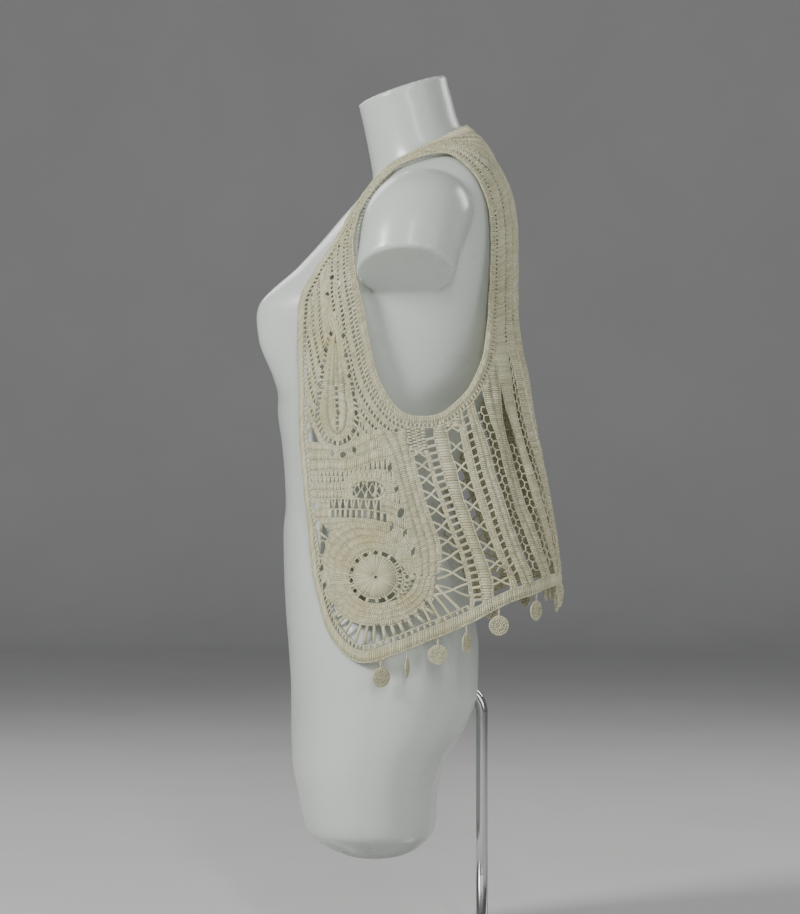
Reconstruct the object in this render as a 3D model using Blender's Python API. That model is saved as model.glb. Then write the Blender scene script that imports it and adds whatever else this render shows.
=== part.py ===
"""Open-fronted crocheted lace vest with hanging discs, on a limbless dress form on a rod stand. Metres, +Z up, +X the wearer's left, -Y the front.

Guide tables are read off one side view: columns across and down count squares of 1.1 mm in the plane x = 0, seen from 3.6 m on the wearer's left at 0.543 m height, with square (400, 457) straight ahead.
"""

import math

import bmesh
import bpy
import numpy as np
from mathutils import Vector
from mathutils.bvhtree import BVHTree
from mathutils.geometry import delaunay_2d_cdt

SQUARE, EYE, EYE_UP = 0.0011, 3.6, 0.543
WALL, BAND_WALL, BORDER_WALL = 0.0022, 0.0030, 0.0028
SEAM = 0.00022  # each piece stands this far inside its seam line
CLEAR = 0.0019  # from the form to the middle of the cloth
BAND, BORDER, HEM = 0.0118, 0.0072, 0.0115

# Rings of the form, top to bottom. front/back: y and z of the ring's ends in the side view; side_lift raises the ring at its sides; bust: how far each side of the chest stands out.
# front_y front_z back_y back_z half_width power side_lift back_power bust
FORM = np.array([
    (-0.0451, 0.9302, 0.0506, 0.9621, 0.0500, 2.0, 0.000, 2.0, 0),
    (-0.0420, 0.9160, 0.0533, 0.9500, 0.0500, 2.0, 0.000, 2.0, 0),
    (-0.0385, 0.9005, 0.0572, 0.9360, 0.0510, 2.0, 0.000, 2.0, 0),
    (-0.0345, 0.8800, 0.0625, 0.9165, 0.0530, 2.0, -0.001, 2.0, 0),
    (-0.0315, 0.8640, 0.0680, 0.9050, 0.0560, 2.0, -0.004, 2.0, 0),
    (-0.0298, 0.8520, 0.0730, 0.9000, 0.0620, 2.1, -0.007, 2.1, 0),
    (-0.0305, 0.8430, 0.0900, 0.8800, 0.0920, 2.2, 0.003, 2.2, 0.000),
    (-0.0350, 0.8330, 0.1015, 0.8600, 0.1180, 2.4, 0.010, 2.4, 0.002),
    (-0.0440, 0.8190, 0.1120, 0.8390, 0.1390, 2.5, 0.008, 2.7, 0.006),
    (-0.0580, 0.7990, 0.1190, 0.8150, 0.1500, 2.5, 0.003, 2.7, 0.011),
    (-0.0730, 0.7750, 0.1215, 0.7850, 0.1510, 2.4, 0.000, 2.7, 0.018),
    (-0.0880, 0.7480, 0.1215, 0.7520, 0.1480, 2.3, 0.000, 2.7, 0.030),
    (-0.1080, 0.7050, 0.1180, 0.7050, 0.1430, 2.3, 0.000, 2.7, 0.055),
    (-0.1170, 0.6700, 0.1120, 0.6700, 0.1390, 2.3, 0.000, 2.7, 0.046),
    (-0.1258, 0.6300, 0.1005, 0.6300, 0.1350, 2.3, 0.000, 2.7, 0.021),
    (-0.1342, 0.5950, 0.0867, 0.5950, 0.1310, 2.3, 0.000, 2.3, 0),
    (-0.1298, 0.5600, 0.0729, 0.5600, 0.1260, 2.3, 0.000, 2.3, 0),
    (-0.1263, 0.5200, 0.0552, 0.5200, 0.1200, 2.3, 0.000, 2.3, 0),
    (-0.1254, 0.4900, 0.0443, 0.4900, 0.1190, 2.3, 0.000, 2.3, 0),
    (-0.1278, 0.4600, 0.0473, 0.4600, 0.1250, 2.3, 0.000, 2.3, 0),
    (-0.1273, 0.4250, 0.0650, 0.4250, 0.1400, 2.3, 0.000, 2.3, 0),
    (-0.1254, 0.3800, 0.0788, 0.3800, 0.1590, 2.3, 0.000, 2.3, 0),
    (-0.1219, 0.3350, 0.0862, 0.3350, 0.1700, 2.4, 0.000, 2.4, 0),
    (-0.1193, 0.2900, 0.0852, 0.2900, 0.1740, 2.4, 0.000, 2.4, 0),
    (-0.1191, 0.2500, 0.0724, 0.2500, 0.1720, 2.5, 0.000, 2.5, 0),
    (-0.1180, 0.2150, 0.0512, 0.2150, 0.1680, 2.5, 0.000, 2.5, 0),
    (-0.1111, 0.1760, 0.0409, 0.1760, 0.1610, 2.5, 0.000, 2.5, 0),
    (-0.1027, 0.1400, 0.0384, 0.1400, 0.1520, 2.5, 0.000, 2.5, 0),
    (-0.0865, 0.1240, 0.0330, 0.1300, 0.1350, 2.5, 0.000, 2.5, 0),
    (-0.0640, 0.1135, 0.0180, 0.1175, 0.1120, 2.4, 0.000, 2.4, 0),
    (-0.0420, 0.1098, -0.0060, 0.1108, 0.0800, 2.2, 0.000, 2.2, 0),
])
BUST_X, BUST_WIDE = 0.073, 0.050
# The left arm's stub, root to cut: centre x y z, half width front-back, half width across, lean of the section's plane in degrees
STUB = [
    (0.085, 0.028, 0.800, 0.050, 0.042, 0),
    (0.124, 0.025, 0.804, 0.055, 0.046, 16),
    (0.150, 0.018, 0.793, 0.056, 0.048, 34),
    (0.165, 0.012, 0.768, 0.054, 0.047, 49),
    (0.173, 0.006, 0.736, 0.052, 0.047, 57),
]
# Rings of the middle of the cloth, neck to below the hem
# front_y front_z back_y back_z half_width power side_lift back_power
VEST = np.array([
    (-0.0330, 0.8560, 0.0748, 0.9065, 0.0665, 2.1, -0.004, 2.1),
    (-0.0350, 0.8440, 0.0945, 0.8840, 0.0960, 2.2, 0.005, 2.2),
    (-0.0400, 0.8340, 0.1050, 0.8640, 0.1220, 2.3, 0.012, 2.3),
    (-0.0520, 0.8190, 0.1160, 0.8420, 0.1440, 2.4, 0.010, 2.5),
    (-0.0700, 0.8000, 0.1235, 0.8180, 0.1560, 2.4, 0.004, 2.6),
    (-0.0880, 0.7760, 0.1265, 0.7880, 0.1600, 2.4, 0.000, 2.7),
    (-0.1060, 0.7500, 0.1270, 0.7550, 0.1605, 2.3, 0.000, 2.8),
    (-0.1280, 0.7100, 0.1268, 0.7100, 0.1600, 2.3, 0.000, 3.0),
    (-0.1420, 0.6700, 0.1300, 0.6700, 0.1590, 2.3, 0.000, 3.2),
    (-0.1440, 0.6300, 0.1385, 0.6300, 0.1590, 2.3, 0.000, 3.4),
    (-0.1400, 0.5900, 0.1455, 0.5900, 0.1610, 2.3, 0.000, 3.6),
    (-0.1370, 0.5500, 0.1520, 0.5500, 0.1640, 2.3, 0.000, 3.8),
    (-0.1345, 0.5000, 0.1612, 0.5000, 0.1690, 2.3, 0.000, 4.0),
    (-0.1300, 0.4500, 0.1695, 0.4500, 0.1745, 2.3, 0.000, 4.0),
    (-0.1270, 0.4000, 0.1745, 0.4000, 0.1805, 2.3, 0.000, 4.0),
    (-0.1240, 0.3500, 0.1785, 0.3500, 0.1860, 2.3, 0.000, 4.0),
    (-0.1220, 0.3000, 0.1815, 0.3000, 0.1900, 2.3, 0.000, 4.0),
])
# Soft folds of the cloth: angle at the top and at the bottom in degrees, first and last ring, depth inward, half width in degrees
FOLDS = [
    (134.0, 130.0, 8.8, 12.0, 0.0050, 4.5),
    (166.0, 160.0, 9.0, 15.0, 0.0055, 6.0),
    (147.0, 144.0, 10.0, 15.5, -0.0040, 6.0),
    (66.0, 74.0, 11.0, 16.0, -0.0050, 9.0),
]

# The garment's outer edge. First part (angle, ring): neck line to the front edge; second part (across, down): front edge, corner and hem
NECK = [(180, 0.0), (165, 0.0), (148, 0.0), (130, 0.0), (112, 0.02), (97, 0.05), (90, 0.06), (80, 0.10), (68, 0.18), (58, 0.36), (49.5, 0.62), (43, 1.0), (38, 1.6), (35.8, 2.4), (37, 3.2), (39.5, 4.0), (41.3, 4.8), (41.2, 5.5)]
EDGE = [(321, 266), (311.5, 285), (306.0, 297), (302.3, 313), (299.8, 335), (298.9, 357), (299.3, 380), (299.6, 400), (299.8, 420), (300.5, 445), (302.5, 468), (305.3, 498), (308.2, 522), (310.4, 545), (313.5, 572), (318.8, 596), (325.8, 620), (333, 636.6), (342, 649), (352, 658.5), (364, 662.5), (376, 661.0), (389, 656), (406, 650), (427, 641), (451, 631.5), (475, 620.5), (497, 608.5), (515, 600.0), (534, 593.7), (548.5, 587)]
HEM_END = [(160, 13.74), (170, 13.72), (180, 13.72)]
# The armhole's edge, from the shoulder over the front, round the bottom and up the back, (angle, ring)
ARMHOLE = [(90, 1.50), (79, 1.52), (69, 1.68), (60, 1.98), (53.5, 2.45), (50.5, 3.1), (50.5, 3.9), (53, 4.7), (57.5, 5.45), (62.5, 6.05), (68.8, 6.64), (75.2, 7.38), (79.0, 8.16), (80.9, 8.93), (83.6, 9.43), (87.3, 9.86), (92.5, 10.09), (99, 10.13), (105.0, 10.06), (109.3, 9.89), (113.0, 9.70), (116.8, 9.47), (122.6, 8.92), (128.0, 8.25), (131.2, 7.4), (132.2, 6.5), (131.8, 5.5), (130.2, 4.55), (127.0, 3.8), (122.0, 3.12), (115.5, 2.52), (107, 1.96), (98.5, 1.62)]
# Seams between the worked pieces, (across, down), from above the armhole band's outer edge to below the hem
SEAM_FRONT = [(405, 424), (408, 440), (411.5, 461.7), (414.5, 474.6), (418.5, 489), (423, 504.7), (428, 520.5), (433.5, 536.3), (437.0, 550.6), (436.8, 569.3), (435.6, 585), (434.0, 600), (436.5, 612), (440, 650)]
SEAM_BACK = [(457, 396), (460.5, 410), (463.8, 434.4), (467.8, 457.4), (473, 477.5), (479, 497.6), (485.5, 516.2), (493, 537.7), (500.5, 557.8), (508, 575), (514, 592), (520, 612)]

# Lines that rows of openings follow (across, down)
LADDER = [(430, 437), (434, 454), (438, 468.6), (442, 483), (449.8, 504), (454.2, 518.5), (462.7, 540), (468.6, 554.7), (474.5, 575.3), (478.5, 600)]
NETS = {
    1: [(463.8, 408), (468.8, 427.3), (472.4, 443), (476, 457.4), (479.6, 472.2), (484.6, 488.2), (489.4, 502.6), (494, 518.4), (500.8, 538.5), (507.5, 556), (516, 575)],
    2: [(480.3, 405.7), (484, 418.7), (489, 431.6), (493.2, 444.5), (496.8, 457.4), (499.7, 471.7), (505.4, 489), (509.7, 504.7), (517, 526.3), (522.6, 540.6), (528.4, 556.4), (535.6, 572)],
    3: [(511, 440), (517, 460), (522, 477.5), (524.5, 486), (529.8, 503.3), (534, 513.3), (540.6, 533.4), (545.5, 550), (551, 568)],
}
# Openings of the side's open-work, centre across down, width, height
TRELLIS = [
    (419.8, 459.5, 6, 5), (424.5, 472.5, 8, 7), (428.6, 487.5, 9, 9), (433.4, 502.6, 9.5, 9.5), (438.4, 519, 9, 10.5),
    (444.2, 534.6, 10, 9), (449.6, 549.2, 11, 9), (453.6, 565, 13, 9.5), (455, 582.5, 21, 12), (452, 598, 17, 6.5),
    (453.2, 437.3, 8, 8.5), (457.4, 456.7, 9, 12.5), (463.1, 476.8, 9.5, 13), (469.6, 496, 9.5, 13), (475.3, 516.2, 9, 13),
    (482.5, 536.3, 10, 13), (489.8, 555.7, 10, 11), (499.0, 573.5, 12.5, 10.5), (502.0, 588.6, 11, 5.2),
]
# Openings of the front piece: centre across down, width, height, turn in degrees
FRONT = [
    (317.0, 505.3, 5.5, 9, 0), (318.5, 526.0, 7, 11, 0), (323.0, 547.8, 7, 15, -8), (321.9, 568.5, 4.6, 10, -10), (325.5, 585.5, 4.6, 12, -15),
    (334.0, 609.0, 5, 9, -20), (343.2, 625.5, 7.5, 7.5, 0), (353.2, 629.0, 7, 10, 0),
    (308.2, 401.0, 4.6, 9, 0), (308.4, 426.0, 4.8, 11, 0), (328.0, 294.7, 4.8, 6, -20), (332.6, 277.8, 4.6, 7, -25),
    (333.0, 453.0, 4.8, 7, 0), (343.4, 454.7, 7, 7, 0), (354.4, 450.0, 5, 8, 15),
    (357.5, 490.0, 4.8, 9.5, 0), (365.0, 489.3, 4.8, 11, 0), (372.5, 489.8, 4.8, 11, 0), (379.5, 491.0, 4.6, 9, 0),
    (390.0, 468.0, 4.8, 12, -12), (396.6, 489.0, 4.6, 9, -15), (400.8, 513.0, 7.5, 12, -18), (391.6, 527.5, 4.8, 11, -15), (405.0, 533.0, 4.8, 9, -22), (413.2, 552.0, 4.8, 11, -18),
    (400.0, 571.5, 4.8, 5, 0), (407.0, 577.0, 4.8, 4.8, 0), (399.5, 586.5, 5, 4.8, 0),
    (379.0, 627.5, 5.5, 6, 0), (387.5, 628.0, 4.8, 7, 5), (396.0, 626.5, 4.8, 7.5, 10), (404.3, 623.0, 4.8, 8, 20), (412.3, 618.0, 4.8, 8.5, 30), (420.0, 611.5, 4.8, 9, 38), (427.0, 603.0, 5, 9, 45),
    (396.5, 430.5, 5.5, 4.6, 0),
]
# The wheel of the front piece: centre, radius of its ring of openings, and the ring's openings in degrees clockwise from the right
WHEEL = (375.7, 577.2, 24.3)
WHEEL_AT = [75, 98, 121, 146, 172, 198, 222, 246, 270]
# The drop of the front piece: rows of openings beside it
DROP_LEFT = [(331.7, 333.6), (326.5, 350), (322.5, 367), (319.6, 385), (318.5, 404)]
DROP_RIGHT = [(343.8, 336), (346.5, 356), (349.5, 376), (353.4, 394), (356.2, 413), (354, 431)]
DROP_MIDDLE = [(338.3, 412.5)]
# Discs hanging from the hem: place across of the first six with their turn in degrees; the rest follow at this pitch
DISCS = [(381, 46), (407, 76), (438, 6), (467, 62), (499, -8), (536, 14)]
DISC_PITCH, DISC_R, DISC_THICK, STEM = 0.0345, 0.0108, 0.0030, 0.0070


def rows(table, t):
    """The table's row at each t, by a monotone cubic through its rows."""
    last = len(table) - 1
    step = np.diff(table, axis=0)
    slope = np.zeros_like(table)
    with np.errstate(divide="ignore", invalid="ignore"):
        mean = 2 * step[1:] * step[:-1] / (step[1:] + step[:-1])
    slope[1:-1] = np.where(step[1:] * step[:-1] > 0, mean, 0)
    slope[0], slope[-1] = step[0], step[-1]
    t = np.clip(np.asarray(t, float), 0, last)
    i = np.minimum(t.astype(int), last - 1)
    f = (t - i)[..., None]
    return (
        (2 * f**3 - 3 * f**2 + 1) * table[i]
        + (f**3 - 2 * f**2 + f) * slope[i]
        + (3 * f**2 - 2 * f**3) * table[i + 1]
        + (f**3 - f**2) * slope[i + 1]
    )


def ring(row, phi, shrink=0.0):
    """Points of a tilted closed section at angles phi, 0 at the front and a quarter turn at the wearer's left."""
    fy, fz, by, bz, wide, power, lift, back = np.moveaxis(row[..., :8], -1, 0)
    s, c = np.sin(phi), np.cos(phi)
    power = np.where(c < 0, back, power)
    r = (np.abs(s) ** power + np.abs(c) ** power) ** (-1 / power)
    g = r * c
    y = (fy + by) / 2 - (by - fy) / 2 * g
    z = (fz + bz) / 2 - (bz - fz) / 2 * g
    z = z + lift * (r * s) ** 2
    x = wide * r * s
    return np.stack([x * (1 - shrink), y - shrink * (y - (fy + by) / 2), z], -1)


def project(p):
    k = EYE / (EYE - p[..., 0]) / SQUARE
    return np.stack([400 + p[..., 1] * k, 457 - (p[..., 2] - EYE_UP) * k], -1)


class Cloth:
    """The middle of the cloth's wall at (angle in degrees, ring), kept clear of the form by a smooth push along its normal."""

    def __init__(self):
        self.push = None
        a, b = np.meshgrid(np.linspace(2, 178, 89), np.linspace(0.05, 15.9, 160))
        self.grid = np.stack([a, b], -1)
        self.seen = project(self.base(self.grid))

    def base(self, uv):
        uv = np.asarray(uv, float)
        phi, k = uv[..., 0], uv[..., 1]
        shrink = 0
        for top, low, first, last, deep, wide in FOLDS:
            f = np.clip((k - first) / (last - first), 0, 1)
            at = top + (low - top) * f
            fade = np.clip((k - first) / 1.5, 0, 1) * np.clip((last + 1.5 - k) / 1.5, 0, 1)
            fade = fade * fade * (3 - 2 * fade)
            shrink = shrink + deep / 0.17 * fade * np.exp(-(((phi - at) / wide) ** 2))
        return ring(rows(VEST, k), np.radians(phi), shrink)

    def jacobian(self, uv, of=None):
        of = of or self.base
        uv = np.asarray(uv, float)
        du, dv = np.array([0.5, 0.0]), np.array([0.0, 0.03])
        return (of(uv + du) - of(uv - du)) / 1.0, (of(uv + dv) - of(uv - dv)) / 0.06

    def normal(self, uv):
        pu, pv = self.jacobian(uv)
        n = np.cross(pv, pu)
        return n / np.linalg.norm(n, axis=-1, keepdims=True)

    def keep_clear(self, tree):
        """Sets the push that keeps the cloth CLEAR of the form."""
        a = np.arange(0, 181, 3.0)
        k = np.arange(0, 16.01, 0.2)
        uv = np.stack(np.meshgrid(a, k), -1)
        at, out = self.base(uv), self.normal(uv)
        need = np.zeros(uv.shape[:2])
        for _ in range(3):
            for i in range(len(k)):
                for j in range(len(a)):
                    p = at[i, j] + out[i, j] * need[i, j]
                    near, facing, _face, _gap = tree.find_nearest(Vector(p))
                    away = (Vector(p) - near).dot(facing)
                    if away < CLEAR:
                        need[i, j] += CLEAR - away
        need = np.minimum(need, 0.012)
        soft = need.copy()
        for _ in range(14):
            wide = np.pad(soft, 1, mode="edge")
            soft = (wide[:-2, 1:-1] + wide[2:, 1:-1] + wide[1:-1, :-2] + wide[1:-1, 2:] + 2 * soft) / 6
            soft = np.maximum(soft, need)
        self.push = soft
        print("largest push", round(float(need.max()) * 1000, 2), "mm")

    def __call__(self, uv):
        uv = np.asarray(uv, float)
        p = self.base(uv)
        if self.push is None:
            return p
        i = np.clip(uv[..., 1] / 0.2, 0, self.push.shape[0] - 1.001)
        j = np.clip(uv[..., 0] / 3.0, 0, self.push.shape[1] - 1.001)
        i0, j0 = i.astype(int), j.astype(int)
        fi, fj = i - i0, j - j0
        d = (
            self.push[i0, j0] * (1 - fi) * (1 - fj)
            + self.push[i0 + 1, j0] * fi * (1 - fj)
            + self.push[i0, j0 + 1] * (1 - fi) * fj
            + self.push[i0 + 1, j0 + 1] * fi * fj
        )
        return p + self.normal(uv) * d[..., None]

    def place(self, seen):
        """(angle, ring) of points given by where they are seen from the side."""
        found = []
        for target in np.atleast_2d(np.asarray(seen, float)):
            gap = ((self.seen - target) ** 2).sum(-1)
            uv = self.grid[np.unravel_index(gap.argmin(), gap.shape)].copy()
            best, least = uv.copy(), gap.min()
            for _ in range(12):
                pu = (project(self.base(uv + [0.4, 0])) - project(self.base(uv - [0.4, 0]))) / 0.8
                pv = (project(self.base(uv + [0, 0.02])) - project(self.base(uv - [0, 0.02]))) / 0.04
                turn = np.linalg.lstsq(np.stack([pu, pv], -1), target - project(self.base(uv)), rcond=1e-2)[0]
                uv = np.clip(uv + np.clip(turn, [-6, -0.5], [6, 0.5]), [0.5, 0.0], [179.5, 15.95])
                off = ((project(self.base(uv)) - target) ** 2).sum()
                if off < least:
                    best, least = uv.copy(), off
            found.append(best)
        return np.array(found)

    def moved(self, uv, along, across, way):
        """uv moved over the cloth: metres along the direction way (in uv) and across it, to its right."""
        pu, pv = self.jacobian(uv)
        n = np.cross(pv, pu)
        n = n / np.linalg.norm(n, axis=-1, keepdims=True)
        t = pu * way[..., :1] + pv * way[..., 1:]
        t = t / np.linalg.norm(t, axis=-1, keepdims=True)
        side = np.cross(t, n)
        step = t * np.asarray(along)[..., None] + side * np.asarray(across)[..., None]
        uu, vv, uw = (pu * pu).sum(-1), (pv * pv).sum(-1), (pu * pv).sum(-1)
        su, sv = (step * pu).sum(-1), (step * pv).sum(-1)
        det = uu * vv - uw * uw
        return uv + np.stack([(su * vv - sv * uw) / det, (sv * uu - su * uw) / det], -1)

    def lengths(self, uv):
        return np.r_[0, np.cumsum(np.linalg.norm(np.diff(self.base(uv), axis=0), axis=1))]

    def resample(self, uv, pitch, closed=False):
        """The line smoothed by a cubic through its points and cut at about this pitch along the cloth."""
        uv = np.asarray(uv, float)
        if closed:
            uv = np.vstack([uv[-3:], uv, uv[:4]])
        fine = rows(uv, np.arange(0, len(uv) - 1 + 1e-9, 0.1))
        if closed:
            fine = fine[30 : 30 + 10 * (len(uv) - 7) + 1]
        s = self.lengths(fine)
        n = max(2, round(s[-1] / pitch))
        t = np.linspace(0, s[-1], n + 1)
        out = np.stack([np.interp(t, s, fine[:, 0]), np.interp(t, s, fine[:, 1])], -1)
        return out[:-1] if closed else out

    def ways(self, uv, closed=False):
        if closed:
            return np.roll(uv, -1, 0) - np.roll(uv, 1, 0)
        way = np.empty_like(uv)
        way[1:-1] = uv[2:] - uv[:-2]
        way[0], way[-1] = uv[1] - uv[0], uv[-1] - uv[-2]
        return way


def crossing(one, two):
    """Where two open lines meet: the point, and how far along each (as index plus fraction)."""
    for i in range(len(one) - 1):
        for j in range(len(two) - 1):
            p, r = one[i], one[i + 1] - one[i]
            q, s = two[j], two[j + 1] - two[j]
            det = r[0] * s[1] - r[1] * s[0]
            if abs(det) < 1e-12:
                continue
            w = q - p
            t = (w[0] * s[1] - w[1] * s[0]) / det
            u = (w[0] * r[1] - w[1] * r[0]) / det
            if 0 <= t < 1 and 0 <= u < 1:
                return p + r * t, i + t, j + u
    raise ValueError("lines don't meet")


def inside(points, loop):
    x, y = points[:, 0], points[:, 1]
    hit = np.zeros(len(points), bool)
    for (ax, ay), (bx, by) in zip(loop, np.roll(loop, -1, 0)):
        if ay == by:
            continue
        cross = (ay > y) != (by > y)
        hit ^= cross & (x < (bx - ax) * (y - ay) / (by - ay) + ax)
    return hit


def flat(uv):
    """Pattern plane in metres: close enough to the cloth's own sizes to lay points out in."""
    return np.stack([uv[..., 0] * 0.0029, uv[..., 1] * 0.040], -1)


def gap_to(points, loops):
    least = np.full(len(points), 9.0)
    for loop in loops:
        for a, b in zip(loop, np.roll(loop, -1, 0)):
            ab = b - a
            t = np.clip(((points - a) @ ab) / max(ab @ ab, 1e-18), 0, 1)
            least = np.minimum(least, np.linalg.norm(points - a - t[:, None] * ab, axis=1))
    return least


def shrunk(cloth, loop, by):
    """A closed uv loop taken in by this distance, corners mitred. The loop runs with its inside on the right of travel or left; the area tells."""
    pu, pv = cloth.jacobian(loop)
    e1 = pu / np.linalg.norm(pu, axis=-1, keepdims=True)
    n = np.cross(pv, pu)
    n /= np.linalg.norm(n, axis=-1, keepdims=True)
    e2 = np.cross(n, e1)

    def local(d):
        v = pu * d[:, :1] + pv * d[:, 1:]
        return np.stack([(v * e1).sum(-1), (v * e2).sum(-1)], -1)

    before = local(loop - np.roll(loop, 1, 0))
    after = local(np.roll(loop, -1, 0) - loop)
    before /= np.linalg.norm(before, axis=1, keepdims=True)
    after /= np.linalg.norm(after, axis=1, keepdims=True)
    f = flat(loop)
    area = 0.5 * (f[:, 0] * np.roll(f[:, 1], -1) - f[:, 1] * np.roll(f[:, 0], -1)).sum()
    hand = np.sign(area) * np.sign(((np.cross(e1, e2) * n).sum(-1)).mean()) * np.sign((pv * e2).sum(-1).mean())
    left = lambda d: np.stack([-d[:, 1], d[:, 0]], -1) * hand
    mid = left(before) + left(after)
    size = (mid**2).sum(-1)
    mid = mid * (2 * by / np.maximum(size, 0.8))[:, None]
    step = e1 * mid[:, :1] + e2 * mid[:, 1:]
    uu, vv, uw = (pu * pu).sum(-1), (pv * pv).sum(-1), (pu * pv).sum(-1)
    su, sv = (step * pu).sum(-1), (step * pv).sum(-1)
    det = uu * vv - uw * uw
    return loop + np.stack([(su * vv - sv * uw) / det, (sv * uu - su * uw) / det], -1)


def material(name, colour, rough, metal=0.0):
    m = bpy.data.materials.new(name)
    m.use_nodes = True
    b = m.node_tree.nodes["Principled BSDF"]
    b.inputs["Base Color"].default_value = (*colour, 1)
    b.inputs["Roughness"].default_value = rough
    b.inputs["Metallic"].default_value = metal
    return m


def add(name, points, faces, mat):
    mesh = bpy.data.meshes.new(name)
    mesh.from_pydata([tuple(map(float, p)) for p in points], [], [tuple(map(int, f)) for f in faces])
    mesh.update()
    mesh.materials.append(mat)
    obj = bpy.data.objects.new(name, mesh)
    bpy.context.scene.collection.objects.link(obj)
    return obj


def closed_wall(middle, out, faces, thick):
    """Points and triangles of a wall round a sheet: faces are triangles of the sheet, seen from outside anticlockwise."""
    n = len(middle)
    points = np.vstack([middle + out * thick / 2, middle - out * thick / 2])
    tris = [tuple(f) for f in faces] + [(f[0] + n, f[2] + n, f[1] + n) for f in faces]
    edges = {}
    for a, b, c in faces:
        for e in ((a, b), (b, c), (c, a)):
            edges[e] = edges.get(e, 0) + 1
    for a, b in edges:
        if (b, a) not in edges:
            tris += [(a, a + n, b + n), (a, b + n, b)]
    return points, tris


def both_sides(name, points, faces, mat):
    left = add(name + "_left", points, faces, mat)
    right = add(name + "_right", points * [-1, 1, 1], [f[::-1] for f in faces], mat)
    return left, right


def sheet(cloth, loop, holes, spacing=0.026):
    """Triangles of the pattern inside the loop and outside its holes: uv points and faces."""
    loops = [flat(loop)] + [flat(h) for h in holes]
    low, high = loops[0].min(0), loops[0].max(0)
    xs = np.arange(low[0] + spacing / 2, high[0], spacing)
    ys = np.arange(low[1] + spacing / 2, high[1], spacing * 0.87)
    grid = np.array([(x + (spacing / 2 if j % 2 else 0), y) for j, y in enumerate(ys) for x in xs])
    grid = grid[inside(grid, loops[0])]
    grid = grid[gap_to(grid, loops) > spacing * 0.45]
    points = np.vstack(loops + [grid])
    edges, start = [], 0
    for lp in loops:
        m = len(lp)
        edges += [(start + i, start + (i + 1) % m) for i in range(m)]
        start += m
    made = delaunay_2d_cdt([Vector(p) for p in points], edges, [], 0, 1e-7)
    verts = np.array([tuple(v) for v in made[0]])
    tris = np.array([f for f in made[2] if len(f) == 3])
    middle = verts[tris].mean(1)
    keep = inside(middle, loops[0])
    for lp in loops[1:]:
        keep &= ~inside(middle, lp)
    tris = tris[keep]
    used = np.unique(tris)
    back = -np.ones(len(verts), int)
    back[used] = np.arange(len(used))
    return verts[used] / [0.0029, 0.040], back[tris]


def worked(cloth, name, loop, holes, thick, mat):
    uv, faces = sheet(cloth, shrunk(cloth, loop, SEAM), holes)
    middle, out = cloth(uv), cloth.normal(uv)
    a, b, c = (middle[faces[:, i]] for i in range(3))
    flip = (np.cross(b - a, c - a) * out[faces[:, 0]]).sum(-1) < 0
    faces = [tuple(f[::-1]) if t else tuple(f) for f, t in zip(faces.tolist(), flip)]
    points, tris = closed_wall(middle, out, faces, thick)
    print(name, len(tris), "triangles", len(holes), "openings")
    return both_sides(name, points, tris, mat)


def strip(cloth, name, outer, inner, thick, closed, mat):
    """A band between two lines with the same number of points."""
    n = len(outer)
    uv = np.vstack([outer, inner])
    faces = []
    for j in range(n if closed else n - 1):
        k = (j + 1) % n
        faces += [(j, k, n + k), (j, n + k, n + j)]
    at, out = cloth(uv), cloth.normal(uv)
    f = np.array(faces)
    p, q, r = (at[f[:, i]] for i in range(3))
    flip = (np.cross(q - p, r - p) * out[f[:, 0]]).sum(-1).sum() < 0
    faces = [t[::-1] if flip else t for t in faces]
    points, tris = closed_wall(at, out, faces, thick)
    print(name, len(tris), "triangles")
    return both_sides(name, points, tris, mat)


def shape_at(cloth, uv, way, corners):
    """A closed uv loop of corners (along, across) in metres round uv."""
    n = len(corners)
    c = np.array(corners, float)
    return cloth.moved(np.repeat(uv[None], n, 0), c[:, 0], c[:, 1], np.repeat(way[None], n, 0))


def oval(high, wide, n=6):
    t = np.arange(n) * 2 * math.pi / n + (math.pi / n if n == 6 else 0)
    return [(high / 2 * math.cos(a), wide / 2 * math.sin(a)) for a in t]


def seen_hole(cloth, x, y, wide, high, turn=0.0, n=6):
    """An opening given by its size in the side view, as a uv loop."""
    a = math.radians(turn)
    grow = 1.08 if n == 4 else 1.0
    corners = [
        (x + grow * (q * math.cos(a) + p * math.sin(a)), y + grow * (p * math.cos(a) - q * math.sin(a)))
        for p, q in oval(high, wide, n)
    ]
    return cloth.place(corners)


def row_holes(cloth, line, pitch, first, last, corners, across=0.0, stagger=0.0):
    """Openings along a uv line, by distance from its start."""
    fine = rows(np.asarray(line, float), np.arange(0, len(line) - 1 + 1e-9, 0.05))
    s = cloth.lengths(fine)
    out = []
    for d in np.arange(first + stagger, min(last, s[-1]), pitch):
        uv = np.array([np.interp(d, s, fine[:, 0]), np.interp(d, s, fine[:, 1])])
        nxt = np.array([np.interp(d + 0.004, s, fine[:, 0]), np.interp(d + 0.004, s, fine[:, 1])])
        prv = np.array([np.interp(d - 0.004, s, fine[:, 0]), np.interp(d - 0.004, s, fine[:, 1])])
        way = nxt - prv
        uv = cloth.moved(uv[None], np.zeros(1), np.array([across]), way[None])[0]
        out.append(shape_at(cloth, uv, way, corners))
    return out


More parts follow.
